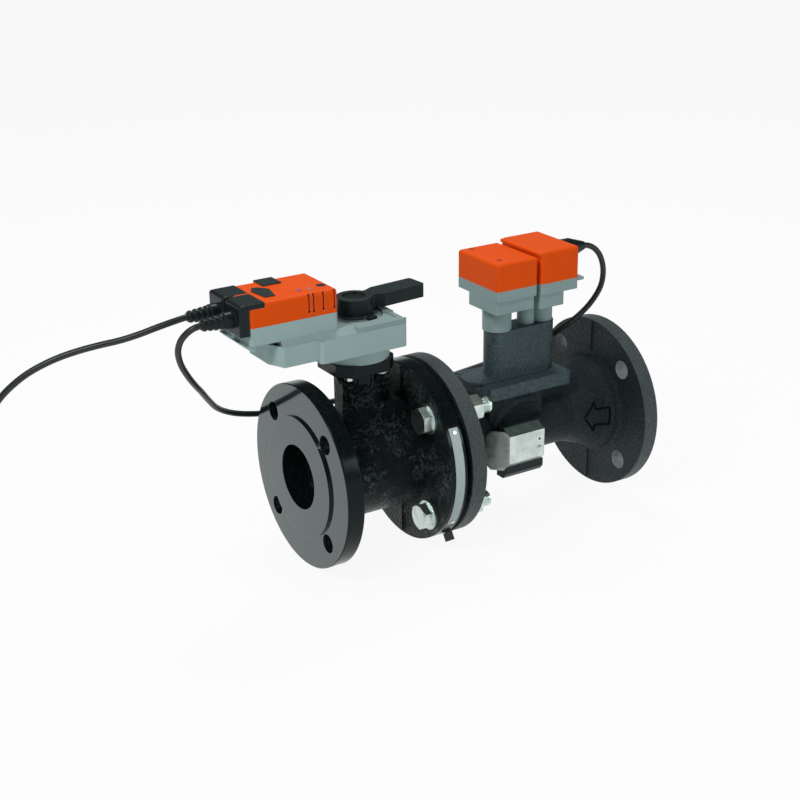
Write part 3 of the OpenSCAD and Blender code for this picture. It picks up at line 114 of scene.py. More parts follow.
# Centre line of the supply cable, far plug to the floor, in millimetres
SUPPLY_ROUTE = np.array([
    [-92, 14, 178], [-99.5, 14, 178], [-110, 14.5, 176.5], [-126, 18, 172.5],
    [-142, 23, 167.5], [-158, 29.5, 163], [-174, 36, 160], [-189.5, 42.5, 156.5],
    [-205.5, 48.5, 152], [-221, 54, 146], [-236, 59.5, 138], [-249.5, 64, 128],
    [-261, 68.5, 116], [-270, 72.5, 101.5], [-277, 76.5, 86], [-282, 80, 69.5],
    [-286, 83.5, 53], [-288, 86.5, 35.5], [-290, 89.5, 18.5], [-291, 93, 1.5],
    [-292.5, 96, -16], [-295, 99.5, -33], [-298.5, 103.5, -49.5], [-304, 107, -65.5],
    [-312, 110, -78], [-320, 111.5, -84.5], [-329, 112, -88], [-340, 112, -88.5],
])
# Steps of a cable's curve from point to point, and how many directions are tried for its frames
CURVE_STEPS, TRIED_WAYS = 4, 400
# Stored coil: steps in one turn, the angle at its start and the turn of its tail, in degrees
TURN_STEPS, COIL_START, TAIL_TURN = 24, -90, -30
# Ends of a cast line: how fast it rises over a share of its length, and the height it starts from
END_SLOPE, END_HEIGHT = 24, 0.15

# Flanges, in millimetres: a bolt hole's distance from the axis along Y and along Z, the radius that
# takes in its wall, and the radii past which the rims of the sensor's and valve's flanges lie
HOLE_REACH, HOLE_WALL = 51.27, 9.8
SENSOR_RIM, VALVE_RIM = 91.8, 91.5
# Turned surfaces of the valve body, in millimetres: depth of the face towards the pipe, where the
# last turned rim ends along the pipe, and the radius that takes in the bore
FACE_DEPTH, RIM_END, BORE_WALL = 2.7, 137, 40

# Seam lines, in millimetres and degrees: name, CAD node, place along the pipe, start and end of its
# reach from the axis, and its turn about the axis
SEAMS = (
    ("valve_seam_top", "valve_body", 118.3, (54, 90.5), 90),
    ("valve_seam_low", "valve_body", 118.3, (54, 90.5), -90),
    ("sensor_seam_top", "sensor_body", 359.3, (58, 91), 90),
    ("sensor_seam_low", "sensor_body", 359.3, (58, 91), -90),
)
SEAM_WIDTH, SEAM_RISE, SEAM_STEP = 1.4, 0.6, 2

# Flow arrow: its outline in millimetres along the pipe and degrees up from level, its width, the
# length of a degree on the tube, the spacing of its points, and places where the tube is measured
ARROW_OUTLINE = np.array([
    [323, 0], [335, 24], [335, 12], [349, 12], [349, -12], [335, -12], [335, -24], [323, 0]])
ARROW_WIDTH, DEGREE_LENGTH, ARROW_STEP = 2, 0.65, 0.8
TUBE_PLACES = np.linspace(320, 352, 17)
# Distance from the axis, in metres, at which a measuring ray starts
RAY_START = 0.3

# Cover flap, in millimetres: its outline along the flap and up, the corner that it is folded from,
# and each ring's share of the outline and its height, from the face to the back of the rim
FLAP_OUTLINE = np.array([
    [0.2, -19.5], [0.2, 10], [5.2, 15.4], [21, 15.4], [25, 11], [25, -21], [20, -27.5], [6, -27.5]])
FLAP_CORNER = (213.9, 54.3)
FLAP_RINGS = ((0.9, 0.0), (0.985, -0.05), (1.0, -0.3), (1.0, -1.0))

# Camera: its place in millimetres, and its yaw, pitch and roll in degrees
CAMERA_PLACE = (-612.15, -1174.96, 606.84)
CAMERA_ANGLES = (31.84, 21.78, -0.744)
# Film width in millimetres, and the focal length and width of the picture in its own dots
FILM_WIDTH, FOCAL_LENGTH, PICTURE_WIDTH = 36.0, 1496.8, 800
# Nearest and farthest place that the camera sees, in metres
CLIP_NEAR, CLIP_FAR = 0.05, 60.0

# Studio, in metres: half the floor's width, its grid lines, and what the lamps look at
FLOOR_HALF, FLOOR_LINES = 9, 13
LAMP_AIM = (0.15, 0.0, 0.05)
# Lamps: name, place and width in metres, and power in watts
LAMPS = (
    ("key_lamp", (-1.1, -0.5, 1.5), 0.55, 18.0),
    ("top_lamp", (0.5, 0.7, 1.6), 0.55, 12.0),
    ("front_lamp", (1.2, -1.6, 0.75), 0.5, 6.0),
)
# Share of the floor's white that is its own, the light that the surround throws, and the tones and
# the fade with height of what a gloss sees of it
FLOOR_GLOW = 0.92
WHITE, THROWN_LIGHT = (1, 1, 1, 1), (0.29, 0.30, 0.31, 1)
GLOSS_DARK, GLOSS_PALE = (0, 0, 0, 1), (0.8, 1, 0.98, 1)
GLOSS_FADE = {"From Min": 0.02, "From Max": 0.26, "To Min": 1.0, "To Max": 0.08}
# Numbers of the sockets of a Mix node for colours
MIX_A, MIX_B, MIX_OUT = 6, 7, 2


# Sizes and colours

class ValveSizes(bpy.types.PropertyGroup):
    """Sizes of the pieces that this scene adds."""
    cable_d: bpy.props.FloatProperty(
        name="Cable Diameter", description="Outside diameter of both cables",
        default=6 * MM, min=4 * MM, max=8 * MM, unit="LENGTH")
    coil_r: bpy.props.FloatProperty(
        name="Coil Outer Turn", description="Radius of the outer turn of the stored supply cable",
        default=44 * MM, min=40 * MM, max=60 * MM, unit="LENGTH")
    coil_pitch: bpy.props.FloatProperty(
        name="Coil Pitch", description="Distance from one turn of the coil to the next",
        default=6.6 * MM, min=5 * MM, max=9 * MM, unit="LENGTH")
    coil_turns: bpy.props.IntProperty(
        name="Coil Turns", description="Number of turns in the stored supply cable",
        default=3, min=1, max=5, subtype="UNSIGNED")
    arrow_rise: bpy.props.FloatProperty(
        name="Arrow Rise", description="How far the cast flow arrow stands off the tube",
        default=1.1 * MM, min=0.3 * MM, max=2 * MM, unit="LENGTH")
    edge_round: bpy.props.FloatProperty(
        name="Edge Rounding", description="Radius at which moulded edges catch the light",
        default=0.8 * MM, min=0.0, max=3 * MM, unit="LENGTH")


def colour_prop(name, description, default):
    """A colour that a user can change, in linear red, green and blue."""
    return bpy.props.FloatVectorProperty(
        name=name, description=description, default=default,
        subtype="COLOR", size=3, min=0.0, max=1.0)


class ValveColours(bpy.types.PropertyGroup):
    """Colours of the finishes."""
    cover: colour_prop("Covers", "Orange moulded covers", (0.82, 0.088, 0.004))
    housing: colour_prop("Housings", "Grey green moulded housings", (0.33, 0.455, 0.445))
    lever: colour_prop("Lever", "Black moulded lever, plugs and buttons", (0.008, 0.011, 0.012))
    paint: colour_prop("Casting Paint", "Black paint on the castings", (0.004, 0.006, 0.007))
    zinc: colour_prop("Fasteners", "Zinc plated bolts, nuts and washers", (0.64, 0.75, 0.71))
    steel: colour_prop("Stainless", "Brushed stainless sheet", (0.60, 0.69, 0.65))
    rubber: colour_prop("Cable Sheath", "Black cable sheath", (0.007, 0.010, 0.011))


# Surfaces

def smooth_path(points, steps):
    """A curve through all points: between two of them p(t) = the cubic of Catmull and Rom,
    0.5 (2b + (c - a) t + (2a - 5b + 4c - d) t^2 + (3b - a - 3c + d) t^3)."""
    p = np.vstack([2 * points[0] - points[1], points, 2 * points[-1] - points[-2]])
    a, b, c, d = (p[i:len(p) - 3 + i, None, :] for i in range(4))
    t = (np.arange(steps) / steps)[None, :, None]
    cubic = 0.5 * (2 * b + (c - a) * t + (2 * a - 5 * b + 4 * c - d) * t ** 2
                   + (3 * b - a - 3 * c + d) * t ** 3)
    return np.vstack([cubic.reshape(-1, 3), points[-1:]])


def path_frames(path):
    """Unit direction along a path and two directions across it. The first one across is square to
    a fixed direction, the one of TRIED_WAYS spread over a ball that stays farthest from all
    directions along the path: z = 1 - 2 k / TRIED_WAYS, turned about Z by k pi (3 - sqrt 5)."""
    along = np.gradient(path, axis=0)
    along /= np.linalg.norm(along, axis=1)[:, None]
    k = np.arange(TRIED_WAYS) + 0.5
    z, turn = 1 - 2 * k / TRIED_WAYS, k * math.pi * (3 - math.sqrt(5))
    level = np.sqrt(1 - z * z)
    ball = np.stack([np.cos(turn) * level, np.sin(turn) * level, z], axis=1)
    fixed = ball[np.argmin(np.abs(ball @ along.T).max(axis=1))]
    across = np.cross(along, fixed)
    across /= np.linalg.norm(across, axis=1)[:, None]
    return along, across, np.cross(along, across)


def grid_mesh(name, points, wrap=False, caps=False):
    """A mesh from a grid of points, rows by columns. With wrap the last column joins the first,
    and caps close the first and last rows with one face each. The UV map runs 0 to 1 over columns
    and rows."""
    rows, cols = points.shape[:2]
    reach = cols if wrap else cols - 1
    i, j = np.meshgrid(np.arange(rows - 1), np.arange(reach), indexing="ij")
    k = (j + 1) % cols
    quads = np.stack([i * cols + j, i * cols + k, (i + 1) * cols + k, (i + 1) * cols + j], axis=-1)
    faces = quads.reshape(-1, 4).tolist()
    if caps:
        faces += [list(range(cols))[::-1], list(range((rows - 1) * cols, rows * cols))]
    mesh = bpy.data.meshes.new(name)
    mesh.from_pydata(points.reshape(-1, 3).tolist(), [], faces)
    mesh.polygons.foreach_set("use_smooth", np.ones(len(faces), dtype=bool))
    corners = np.empty(len(mesh.loops), dtype=np.int32)
    mesh.loops.foreach_get("vertex_index", corners)
    uv = np.stack([(corners % cols) / cols, (corners // cols) / max(rows - 1, 1)], axis=1)
    mesh.uv_layers.new(name="Run").data.foreach_set("uv", uv.astype(np.float32).ravel())
    mesh.update()
    piece = bpy.data.objects.new(name, mesh)
    bpy.context.scene.collection.objects.link(piece)
    return piece


def tube_piece(name, path, radius, sides=20):
    """A round tube: point(v, u) = path(v) + radius (cos 2 pi u across + sin 2 pi u other)."""
    _, side, other = path_frames(path)
    u = np.arange(sides) / sides * 2 * math.pi
    ring = (np.cos(u)[None, :, None] * side[:, None, :]
            + np.sin(u)[None, :, None] * other[:, None, :])
    return grid_mesh(name, path[:, None, :] + radius * ring, wrap=True, caps=True)


def even_line(points, step):
    """Points at an even spacing of about step along straight runs between the given ones."""
    run = np.r_[0, np.cumsum(np.linalg.norm(np.diff(points, axis=0), axis=1))]
    at = np.linspace(0, run[-1], max(3, int(round(run[-1] / step)) + 1))
    return np.stack([np.interp(at, run, points[:, k]) for k in range(points.shape[1])], axis=1)


def ridge_piece(name, path, normals, width, rise, sides=10):
    """A raised cast line: point(v, u) = path(v) + width / 2 cos 2 pi u across
    + rise h(v) sin 2 pi u normal. Across is the product of the normal and the path's direction,
    and h(v) = END_SLOPE times the smaller of v and 1 - v, kept between END_HEIGHT and 1."""
    along = np.gradient(path, axis=0)
    along /= np.linalg.norm(along, axis=1)[:, None]
    across = np.cross(normals, along)
    across /= np.linalg.norm(across, axis=1)[:, None]
    u = np.arange(sides) / sides * 2 * math.pi
    v = np.linspace(0, 1, len(path))
    rises = rise * np.clip(np.minimum(v, 1 - v) * END_SLOPE, END_HEIGHT, 1)
    ring = (width / 2 * np.cos(u)[None, :, None] * across[:, None, :]
            + (rises[:, None] * np.sin(u)[None, :])[..., None] * normals[:, None, :])
    return grid_mesh(name, path[:, None, :] + ring, wrap=True, caps=True)


def coil_path(start, diameter, outer, pitch, turns):
    """A flat coil: from start one diameter straight, then (r cos a, r sin a) about its middle with
    a = COIL_START - 360 k / TURN_STEPS degrees and r = outer - pitch k / TURN_STEPS, then one
    diameter on, turned inwards by TAIL_TURN."""
    k = np.arange(TURN_STEPS * turns + 1)
    a, r = np.radians(COIL_START - 360 / TURN_STEPS * k), outer - pitch * k / TURN_STEPS
    middle = start + [-diameter, outer, 0]
    turned = middle + np.stack([r * np.cos(a), r * np.sin(a), 0 * r], axis=1)
    x, y, _ = (turned[-1] - turned[-2]) / np.linalg.norm(turned[-1] - turned[-2])
    c, s = math.cos(math.radians(TAIL_TURN)), math.sin(math.radians(TAIL_TURN))
    tail = turned[-1] + diameter * np.array([x * c - y * s, x * s + y * c, 0])
    return np.vstack([start, turned, tail])


# Finishes

# Cool white of the studio's reflections
COOL = (0.76, 1.0, 0.98, 1.0)
# Tones of the casting paint: where it is rubbed, where it is dusty, on the walls of bolt holes
# (thin paint, brightened as a painted reflection), and on metallic spots that are painted glints
RUBBED, DUSTY = (0.10, 0.12, 0.12), (0.15, 0.18, 0.18)
THIN_AND_LIT, GLINT_SPOT_TONE = (0.38, 0.43, 0.43), (0.095, 0.118, 0.118)
# Noise scales of sheet brushed along X, and of steel turned about Z
BRUSHED, TURNED = (40, 1500, 1500), (90, 90, 1500)
# Rounded edges: samples round a spot, and how much its turn from the flat is raised in the mask
EDGE_SAMPLES, EDGE_GAIN = 6, 5.0


class Tone:
    """One output of a material's nodes. Each arithmetic sign adds one Math node."""

    def __init__(self, finish, socket):
        self.finish, self.socket = finish, socket

    def maths(self, kind, left, right):
        return self.finish.node("ShaderNodeMath", {"operation": kind}, {0: left, 1: right})

    def __add__(self, other):
        return self.maths("ADD", self, other)

    __radd__ = __add__

    def __sub__(self, other):
        return self.maths("SUBTRACT", self, other)

    def __rsub__(self, other):
        return self.maths("SUBTRACT", other, self)

    def __mul__(self, other):
        return self.maths("MULTIPLY", self, other)

    __rmul__ = __mul__

    def __gt__(self, other):
        return self.maths("GREATER_THAN", self, other)

    def __lt__(self, other):
        return self.maths("LESS_THAN", self, other)

    def __pow__(self, other):
        return self.maths("POWER", self, other)

    def held(self):
        """The value kept between 0 and 1."""
        return self.finish.node("ShaderNodeClamp", {}, {"Value": self})

    def span(self, low, high, to_low=0.0, to_high=1.0):
        """The value from low to high carried smoothly to to_low and to_high."""
        return self.finish.node("ShaderNodeMapRange", {"interpolation_type": "SMOOTHSTEP"}, {
            "Value": self, "From Min": low, "From Max": high, "To Min": to_low, "To Max": to_high})


class Finish:
    """One material: its shader, the numbers that are the same all over, and its other nodes."""

    def __init__(self, name, **fixed):
        self.material = bpy.data.materials.new(name)
        self.material.use_nodes = True
        self.tree = self.material.node_tree
        self.shader = self.tree.nodes["Principled BSDF"]
        for key, value in fixed.items():
            self.shader.inputs[key.replace("_", " ")].default_value = value
        self.spot = self.node("ShaderNodeTexCoord", out="Object")

    def node(self, kind, settings=None, sockets=None, out=0):
        """Adds a node: its settings first, then the values or links of its sockets."""
        made = self.tree.nodes.new(kind)
        for key, value in (settings or {}).items():
            setattr(made, key, value)
        for key, value in (sockets or {}).items():
            if isinstance(value, Tone):
                self.tree.links.new(value.socket, made.inputs[key])
            else:
                made.inputs[key].default_value = value
        return Tone(self, made.outputs[out])

    def axis(self, name):
        """The X, Y or Z of the spot on the part, in metres."""
        return self.node("ShaderNodeSeparateXYZ", {}, {0: self.spot}, name)

    def stretched(self, scale):
        """The spot with each axis scaled on its own, for grain that runs one way."""
        return self.node("ShaderNodeMapping", {}, {"Vector": self.spot, "Scale": scale})

    def noise(self, scale, detail=2.0, rough=0.5, spot=None):
        """Soft noise from 0 to 1, with scale lumps to the metre."""
        return self.node("ShaderNodeTexNoise", {}, {
            "Vector": spot or self.spot, "Scale": scale, "Detail": detail, "Roughness": rough,
        }, "Fac")

    def cells(self, scale):
        """Distance to the nearest of scattered points, for pits."""
        return self.node(
            "ShaderNodeTexVoronoi", {}, {"Vector": self.spot, "Scale": scale}, "Distance")

    def blend(self, factor, one, two):
        """Colour one where factor is 0, and colour two where it is 1."""
        one, two = ((*c, 1.0) if isinstance(c, tuple) else c for c in (one, two))
        return self.node(
            "ShaderNodeMix", {"data_type": "RGBA"}, {0: factor, MIX_A: one, MIX_B: two}, MIX_OUT)

    def round_edges(self, radius):
        """Normals rounded over edges by radius, and a mask that is 1 on sharp edges."""
        soft = self.node("ShaderNodeBevel", {"samples": EDGE_SAMPLES}, {"Radius": radius})
        flat = self.node("ShaderNodeNewGeometry", out="Normal")
        same = self.node(
            "ShaderNodeVectorMath", {"operation": "DOT_PRODUCT"}, {0: soft, 1: flat}, "Value")
        return soft, ((1.0 - same) * EDGE_GAIN).held()

    def wear(self, **varied):
        """Feeds Base Color, Roughness, Metallic, Coat Weight or Normal."""
        for key, tone in varied.items():
            self.tree.links.new(tone.socket, self.shader.inputs[key.replace("_", " ")])
        return self.material

    def bump(self, height, distance, strength=1.0, normal=None):
        """A normal from a height map, over rounded edges where given."""
        sockets = {"Height": height, "Distance": distance, "Strength": strength}
        if normal is not None:
            sockets["Normal"] = normal
        return self.node("ShaderNodeBump", {}, sockets)


def scaled(colour, share):
    """A colour made darker or paler by share."""
    return tuple(c * share for c in colour)


def paler(colour, share):
    """A colour carried towards white by share."""
    return tuple(c + (1 - c) * share for c in colour)


def moulded(name, colour, roughness, grain=0.05, edge=0.8 * MM, edge_highlight=0.22, sheen=0.3):
    """Moulded plastic: fine spark grain, faint flow marks in colour and gloss, and a painted
    highlight: paler colour on the edges.
    """
    f = Finish(name, Specular_IOR_Level=sheen, Specular_Tint=COOL)
    soft, rim = f.round_edges(edge)
    fine, flow = f.noise(2600, 2), f.noise(22, 3)
    tint = f.blend(flow.span(0.3, 0.7) * 0.5, scaled(colour, 0.93), scaled(colour, 1.05))
    # The edges are painted paler: a painted highlight along them
    tint = f.blend((rim * (0.6 + 0.8 * flow)).held() * edge_highlight, tint, paler(colour, 0.75))
    return f.wear(Base_Color=tint, Roughness=roughness - 0.06 + 0.08 * fine + 0.06 * flow,
                  Normal=f.bump(fine, grain * MM, 0.6, soft))


def painted_casting(name, colour, roughness, lump, grain, smooth=None, sheen=0.3, rim_dust=0.0):
    """Paint over a sand casting: lumps and pits under a glossy skin, paler on the lumps, grey on
    the edges. lump is the height of the lumps in millimetres, and grain how much duller pits are.
    smooth(f) gives masks of what was turned before it was painted, and of the faces that also
    carry a gloss coat. On the rest of such a casting, paler metallic spots on the high spots
    are painted glints.
    rim_dust greys the flanges' rims, and paints the walls of the bolt holes pale: thin paint
    over bare metal, brightened as a painted reflection."""
    f = Finish(name, Specular_IOR_Level=sheen, Specular_Tint=COOL,
               Coat_Roughness=0.05, Coat_IOR=1.56, Coat_Tint=COOL)
    soft, rim = f.round_edges(1.2 * MM)
    sand, lumps, pits = f.noise(1100, 3, 0.6), f.noise(300, 4, 0.62), f.cells(620)
    turned, face = (0.0, 0.0) if smooth is None else smooth(f)
    rough_cast = 1.0 - turned
    height = (lumps.span(0.3, 0.7) * 0.5 + 0.35 * sand + 0.3 * pits) * rough_cast
    tint = f.blend(lumps.span(0.35, 0.65) * 0.6, scaled(colour, 0.7), scaled(colour, 1.9))
    tint = f.blend((rim * f.noise(140, 3)).held() * 0.25, tint, RUBBED)
    if rim_dust:
        y, z = f.axis("Y"), f.axis("Z")
        rims = ((y * y + z * z) ** 0.5 > SENSOR_RIM * MM) * sand.span(0.35, 0.65, 0.3, 1.0)
        tint = f.blend(rims * rim_dust, tint, DUSTY)
        across, up = (
            f.node("ShaderNodeMath", {"operation": "ABSOLUTE"}, {0: side}) - HOLE_REACH * MM
            for side in (y, z))
        # Bolt hole walls: pale for thin paint over bare metal, and brightened as a painted
        # reflection
        holes = (across * across + up * up) ** 0.5 < HOLE_WALL * MM
        tint = f.blend(holes * 0.8, tint, THIN_AND_LIT)
    gloss = roughness + 0.14 * sand - 0.05 + grain * pits
    if smooth is None:
        return f.wear(Base_Color=tint, Roughness=gloss,
                      Normal=f.bump(height, lump * MM, 1.0, soft))
    # Metallic spots, paler than the paint, on the high spots: painted glints
    glint_spots = f.noise(46, 3).span(0.44, 0.66) * lumps.span(0.46, 0.62) * rough_cast
    gloss = 0.16 + (gloss - 0.16) * rough_cast + 0.03 * sand
    tint = f.blend(glint_spots, tint, GLINT_SPOT_TONE)
    return f.wear(Base_Color=tint, Metallic=glint_spots, Roughness=gloss, Coat_Weight=face * 0.85,
                  Normal=f.bump(height, lump * MM, 1.0, soft))


def turned_faces(f):
    """Two masks on the valve body: all turned surfaces, and of them the face towards the pipe."""
    x, y, z = f.axis("X"), f.axis("Y"), f.axis("Z")
    from_axis = (y * y + z * z) ** 0.5
    face = x < FACE_DEPTH * MM
    rims = (from_axis > VALVE_RIM * MM) * (x < RIM_END * MM)
    bore = from_axis < BORE_WALL * MM
    return (face + rims + bore).held(), face


def plated(name, colour, roughness, brushed=(260, 260, 260), edge=0.4 * MM):
    """Plated or brushed metal: drawn streaks along one axis, cloudy gloss, and a painted highlight:
    brighter colour on the edges.
    """
    f = Finish(name, Metallic=1.0)
    soft, rim = f.round_edges(edge)
    streak = f.noise(1, 3, 0.6, f.stretched(brushed))
    cloud = f.noise(120, 3)
    tint = f.blend(cloud.span(0.3, 0.7), scaled(colour, 0.82), paler(colour, 0.12))
    # The edges are painted brighter: a painted highlight
    tint = f.blend(rim * 0.5, tint, paler(colour, 0.6))
    return f.wear(Base_Color=tint, Roughness=roughness + 0.12 * streak + 0.08 * cloud - 0.08,
                  Normal=f.bump(streak, 0.03 * MM, 0.5, soft))


def sheath(name, colour):
    """Cable sheath: a satin black skin with faint drawn lines and scuffs."""
    f = Finish(name, Specular_IOR_Level=0.5)
    run = f.node("ShaderNodeUVMap", {"uv_map": "Run"})
    drawn = f.noise(1, 2, 0.5, f.node(
        "ShaderNodeMapping", {}, {"Vector": run, "Scale": (60, 14, 1)}))
    scuff, fine = f.noise(90, 4), f.noise(1800, 2)
    tint = f.blend(scuff.span(0.45, 0.75) * 0.5, colour, scaled(colour, 2.2))
    return f.wear(Base_Color=tint, Roughness=0.36 + 0.1 * scuff + 0.03 * drawn,
                  Normal=f.bump(0.6 * fine + 0.4 * drawn, 0.008 * MM, 0.5))


def soft_seal(name, colour, roughness, scale=700):
    """Rubber, fibre or fluoroplastic: mottled, with a matt skin."""
    f = Finish(name, Specular_IOR_Level=0.35)
    mottle, fine = f.noise(scale, 4, 0.6), f.noise(3000, 2)
    tint = f.blend(mottle.span(0.3, 0.7), scaled(colour, 0.75), paler(colour, 0.08))
    return f.wear(Base_Color=tint, Roughness=roughness + 0.1 * mottle,
                  Normal=f.bump(fine, 0.05 * MM, 0.6))


def circuit(name):
    """Board lacquer: green over copper runs laid in squares, with a woven ground."""
    f = Finish(name, Specular_IOR_Level=0.5)
    squares = f.node("ShaderNodeTexBrick", {"offset": 0.5}, {
        "Vector": f.spot, "Scale": 160.0, "Color1": (0, 0, 0, 1), "Color2": (0.6, 0.6, 0.6, 1),
        "Mortar": (1, 1, 1, 1), "Mortar Size": 0.06}, "Fac")
    weave = f.noise(1900, 1)
    ground = f.blend(weave, (0.004, 0.07, 0.022), (0.01, 0.12, 0.035))
    tint = f.blend(squares, ground, (0.05, 0.30, 0.09))
    return f.wear(Base_Color=tint, Roughness=0.28 + 0.12 * weave,
                  Normal=f.bump(squares + 0.2 * weave, 0.04 * MM))


def windings(name, colour):
    """Enamelled wire: ridges side by side round the coil, with painted shade in the grooves
    between the turns.
    """
    f = Finish(name, Metallic=1.0)
    turns = f.node("ShaderNodeTexWave", {"wave_type": "BANDS", "bands_direction": "Z"}, {
        "Vector": f.spot, "Scale": 420.0, "Distortion": 0.6, "Detail": 1.0}, "Fac")
    # Darker colour in the grooves between turns: painted shade
    tint = f.blend(turns, scaled(colour, 0.35), colour)
    return f.wear(Base_Color=tint, Roughness=0.3 + 0.15 * f.noise(200, 2),
                  Normal=f.bump(turns, 0.25 * MM))


def finish_nodes(material, names):
    """Puts a material into every slot of the named CAD nodes."""
    for name in names:
        node = frame["nodes"][name]
        if not node.material_slots:
            node.data.materials.append(material)
        for place in node.material_slots:
            place.material = material


def placed(right, up, back, place):
    """The matrix of something at place whose own X, Y and Z point right, up and back."""
    turn = np.eye(4)
    turn[:3, 0], turn[:3, 1], turn[:3, 2], turn[:3, 3] = right, up, back, place
    return Matrix(turn.tolist())


# Operators

class VALVE_OT_camera(bpy.types.Operator):
    """Sets the camera at the photograph's angle"""
    bl_idname = "valve.camera"
    bl_label = "Camera"

    def execute(self, context):
        yaw, pitch, roll = (math.radians(a) for a in CAMERA_ANGLES)
        ahead = np.array([
            math.sin(yaw) * math.cos(pitch), math.cos(yaw) * math.cos(pitch), -math.sin(pitch)])
        right = np.array([math.cos(yaw), -math.sin(yaw), 0.0])
        up = np.cross(right, ahead)
        c, s = math.cos(roll), math.sin(roll)
        right, up = c * right + s * up, c * up - s * right
        lens = bpy.data.cameras.new("camera")
        lens.lens = FILM_WIDTH * FOCAL_LENGTH / PICTURE_WIDTH
        lens.sensor_width, lens.sensor_fit = FILM_WIDTH, "HORIZONTAL"
        lens.clip_start, lens.clip_end = CLIP_NEAR, CLIP_FAR
        camera = bpy.data.objects.new("camera", lens)
        camera.matrix_world = placed(right, up, -ahead, np.array(CAMERA_PLACE) * MM)
        context.scene.collection.objects.link(camera)
        context.scene.camera = camera
        return {"FINISHED"}


class VALVE_OT_cables(bpy.types.Operator):
    """Makes the sensor cable and the supply cable with its stored coil"""
    bl_idname = "valve.cables"
    bl_label = "Cables"

    def execute(self, context):
        sizes, colours = context.scene.valve_sizes, context.scene.valve_colours
        skin = sheath("cable_sheath", tuple(colours.rubber))
        near = smooth_path(SENSOR_ROUTE * MM, CURVE_STEPS)
        coil = coil_path(SUPPLY_ROUTE[-1] * MM, sizes.cable_d, sizes.coil_r, sizes.coil_pitch,
                         sizes.coil_turns)
        far = smooth_path(np.vstack([SUPPLY_ROUTE[:-1] * MM, coil]), CURVE_STEPS)
        for name, path, nodes, ends in (
                ("sensor_cable", near, ["sensor_cord"],
                 {"far_end": "object", "stiffness": "limp"}),
                ("supply_cable", far, ["supply_cord", "supply_coil"], {
                    "far_end": "bare", "stiffness": "medium", "lay": "coiled",
                    "with_pieces": [frame["nodes"]["coil_tie"], frame["nodes"]["supply_wires"]]})):
            piece = tube_piece(name, path, sizes.cable_d / 2)
            piece.data.materials.append(skin)
            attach(piece, body_of(frame["nodes"][nodes[0]])[0])
            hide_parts(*nodes)
        return {"FINISHED"}


class VALVE_OT_castings(bpy.types.Operator):
    """Paints the castings and adds the seam lines on their back flanges"""
    bl_idname = "valve.castings"
    bl_label = "Castings"

    def execute(self, context):
        paint = tuple(context.scene.valve_colours.paint)
        finish_nodes(painted_casting("valve_paint", paint, roughness=0.14, lump=3.2, grain=0.08,
                                     smooth=turned_faces, sheen=0.16), ["valve_body"])
        finish_nodes(painted_casting("insert_paint", paint, roughness=0.24, lump=0.25, grain=0.08),
                     ["body_insert"])
        finish_nodes(painted_casting("sensor_paint", scaled(paint, 2.4), roughness=0.36, lump=1.6,
                                     grain=0.12, sheen=0.26, rim_dust=0.6), ["sensor_body"])
        finish_nodes(painted_casting("platform_paint", scaled(paint, 9), roughness=0.42, lump=0.7,
                                     grain=0.12, sheen=0.5), ["sensor_platform", "pedestal"])
        finish_nodes(painted_casting("tray_paint", paint, roughness=0.34, lump=0.2, grain=0.1),
                     ["electrode_trays"])
        # A seam runs from one reach r to the other through (x, r cos a, r sin a)
        for name, node, x, reach, turn in SEAMS:
            a = math.radians(turn)
            ends = np.array([[x, r * math.cos(a), r * math.sin(a)] for r in reach]) * MM
            path = even_line(ends, SEAM_STEP * MM)
            normals = np.tile([-1.0, 0, 0], (len(path), 1))
            seam = ridge_piece(name, path, normals, SEAM_WIDTH * MM, SEAM_RISE * MM)
            seam.data.materials.append(frame["nodes"][node].material_slots[0].material)
            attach(seam, body_of(frame["nodes"][node])[0])
        return {"FINISHED"}


class VALVE_OT_flow_arrow(bpy.types.Operator):
    """Casts the outline of the flow arrow on the measuring tube, near side and far side"""
    bl_idname = "valve.flow_arrow"
    bl_label = "Flow Arrow"

    def execute(self, context):
        rise = context.scene.valve_sizes.arrow_rise
        # The arrow's paint is a darker copy of the casting paint: painted shade, so the raised
        # outline reads as dark lines
        shade_tone = scaled(context.scene.valve_colours.paint, 0.5)
        skin = painted_casting("arrow_shaded", shade_tone, roughness=0.55, lump=0.2, grain=0.1, sheen=0.04)
        line = even_line(ARROW_OUTLINE * [1.0, DEGREE_LENGTH], ARROW_STEP)
        x, a = line[:, 0], np.radians(line[:, 1] / DEGREE_LENGTH)
        r = np.interp(x, TUBE_PLACES, self.tube_radii(TUBE_PLACES))
        # At x along the pipe and a up from level, the outline passes (x, side r cos a, r sin a)
        for name, side in (("flow_arrow_near", -1), ("flow_arrow_far", 1)):
            normals = np.stack([0 * a, side * np.cos(a), np.sin(a)], axis=1)
            path = np.stack([x, side * r * np.cos(a), r * np.sin(a)], axis=1) * MM
            arrow = ridge_piece(name, path, normals, ARROW_WIDTH * MM, rise)
            arrow.data.materials.append(skin)
            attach(arrow, body_of(frame["nodes"]["sensor_body"])[0])
        return {"FINISHED"}

    def tube_radii(self, places):
        """The tube's outside radius at places along the pipe, where a ray from the near side first
        meets it, all in millimetres."""
        body = frame["nodes"]["sensor_body"]
        radii = []
        for x in places:
            met, spot, _, _ = body.ray_cast((x * MM, -RAY_START, 0), (0, 1, 0))
            if not met:
                raise RuntimeError("no tube at x %g mm" % x)
            radii.append(-spot[1] / MM)
        return radii


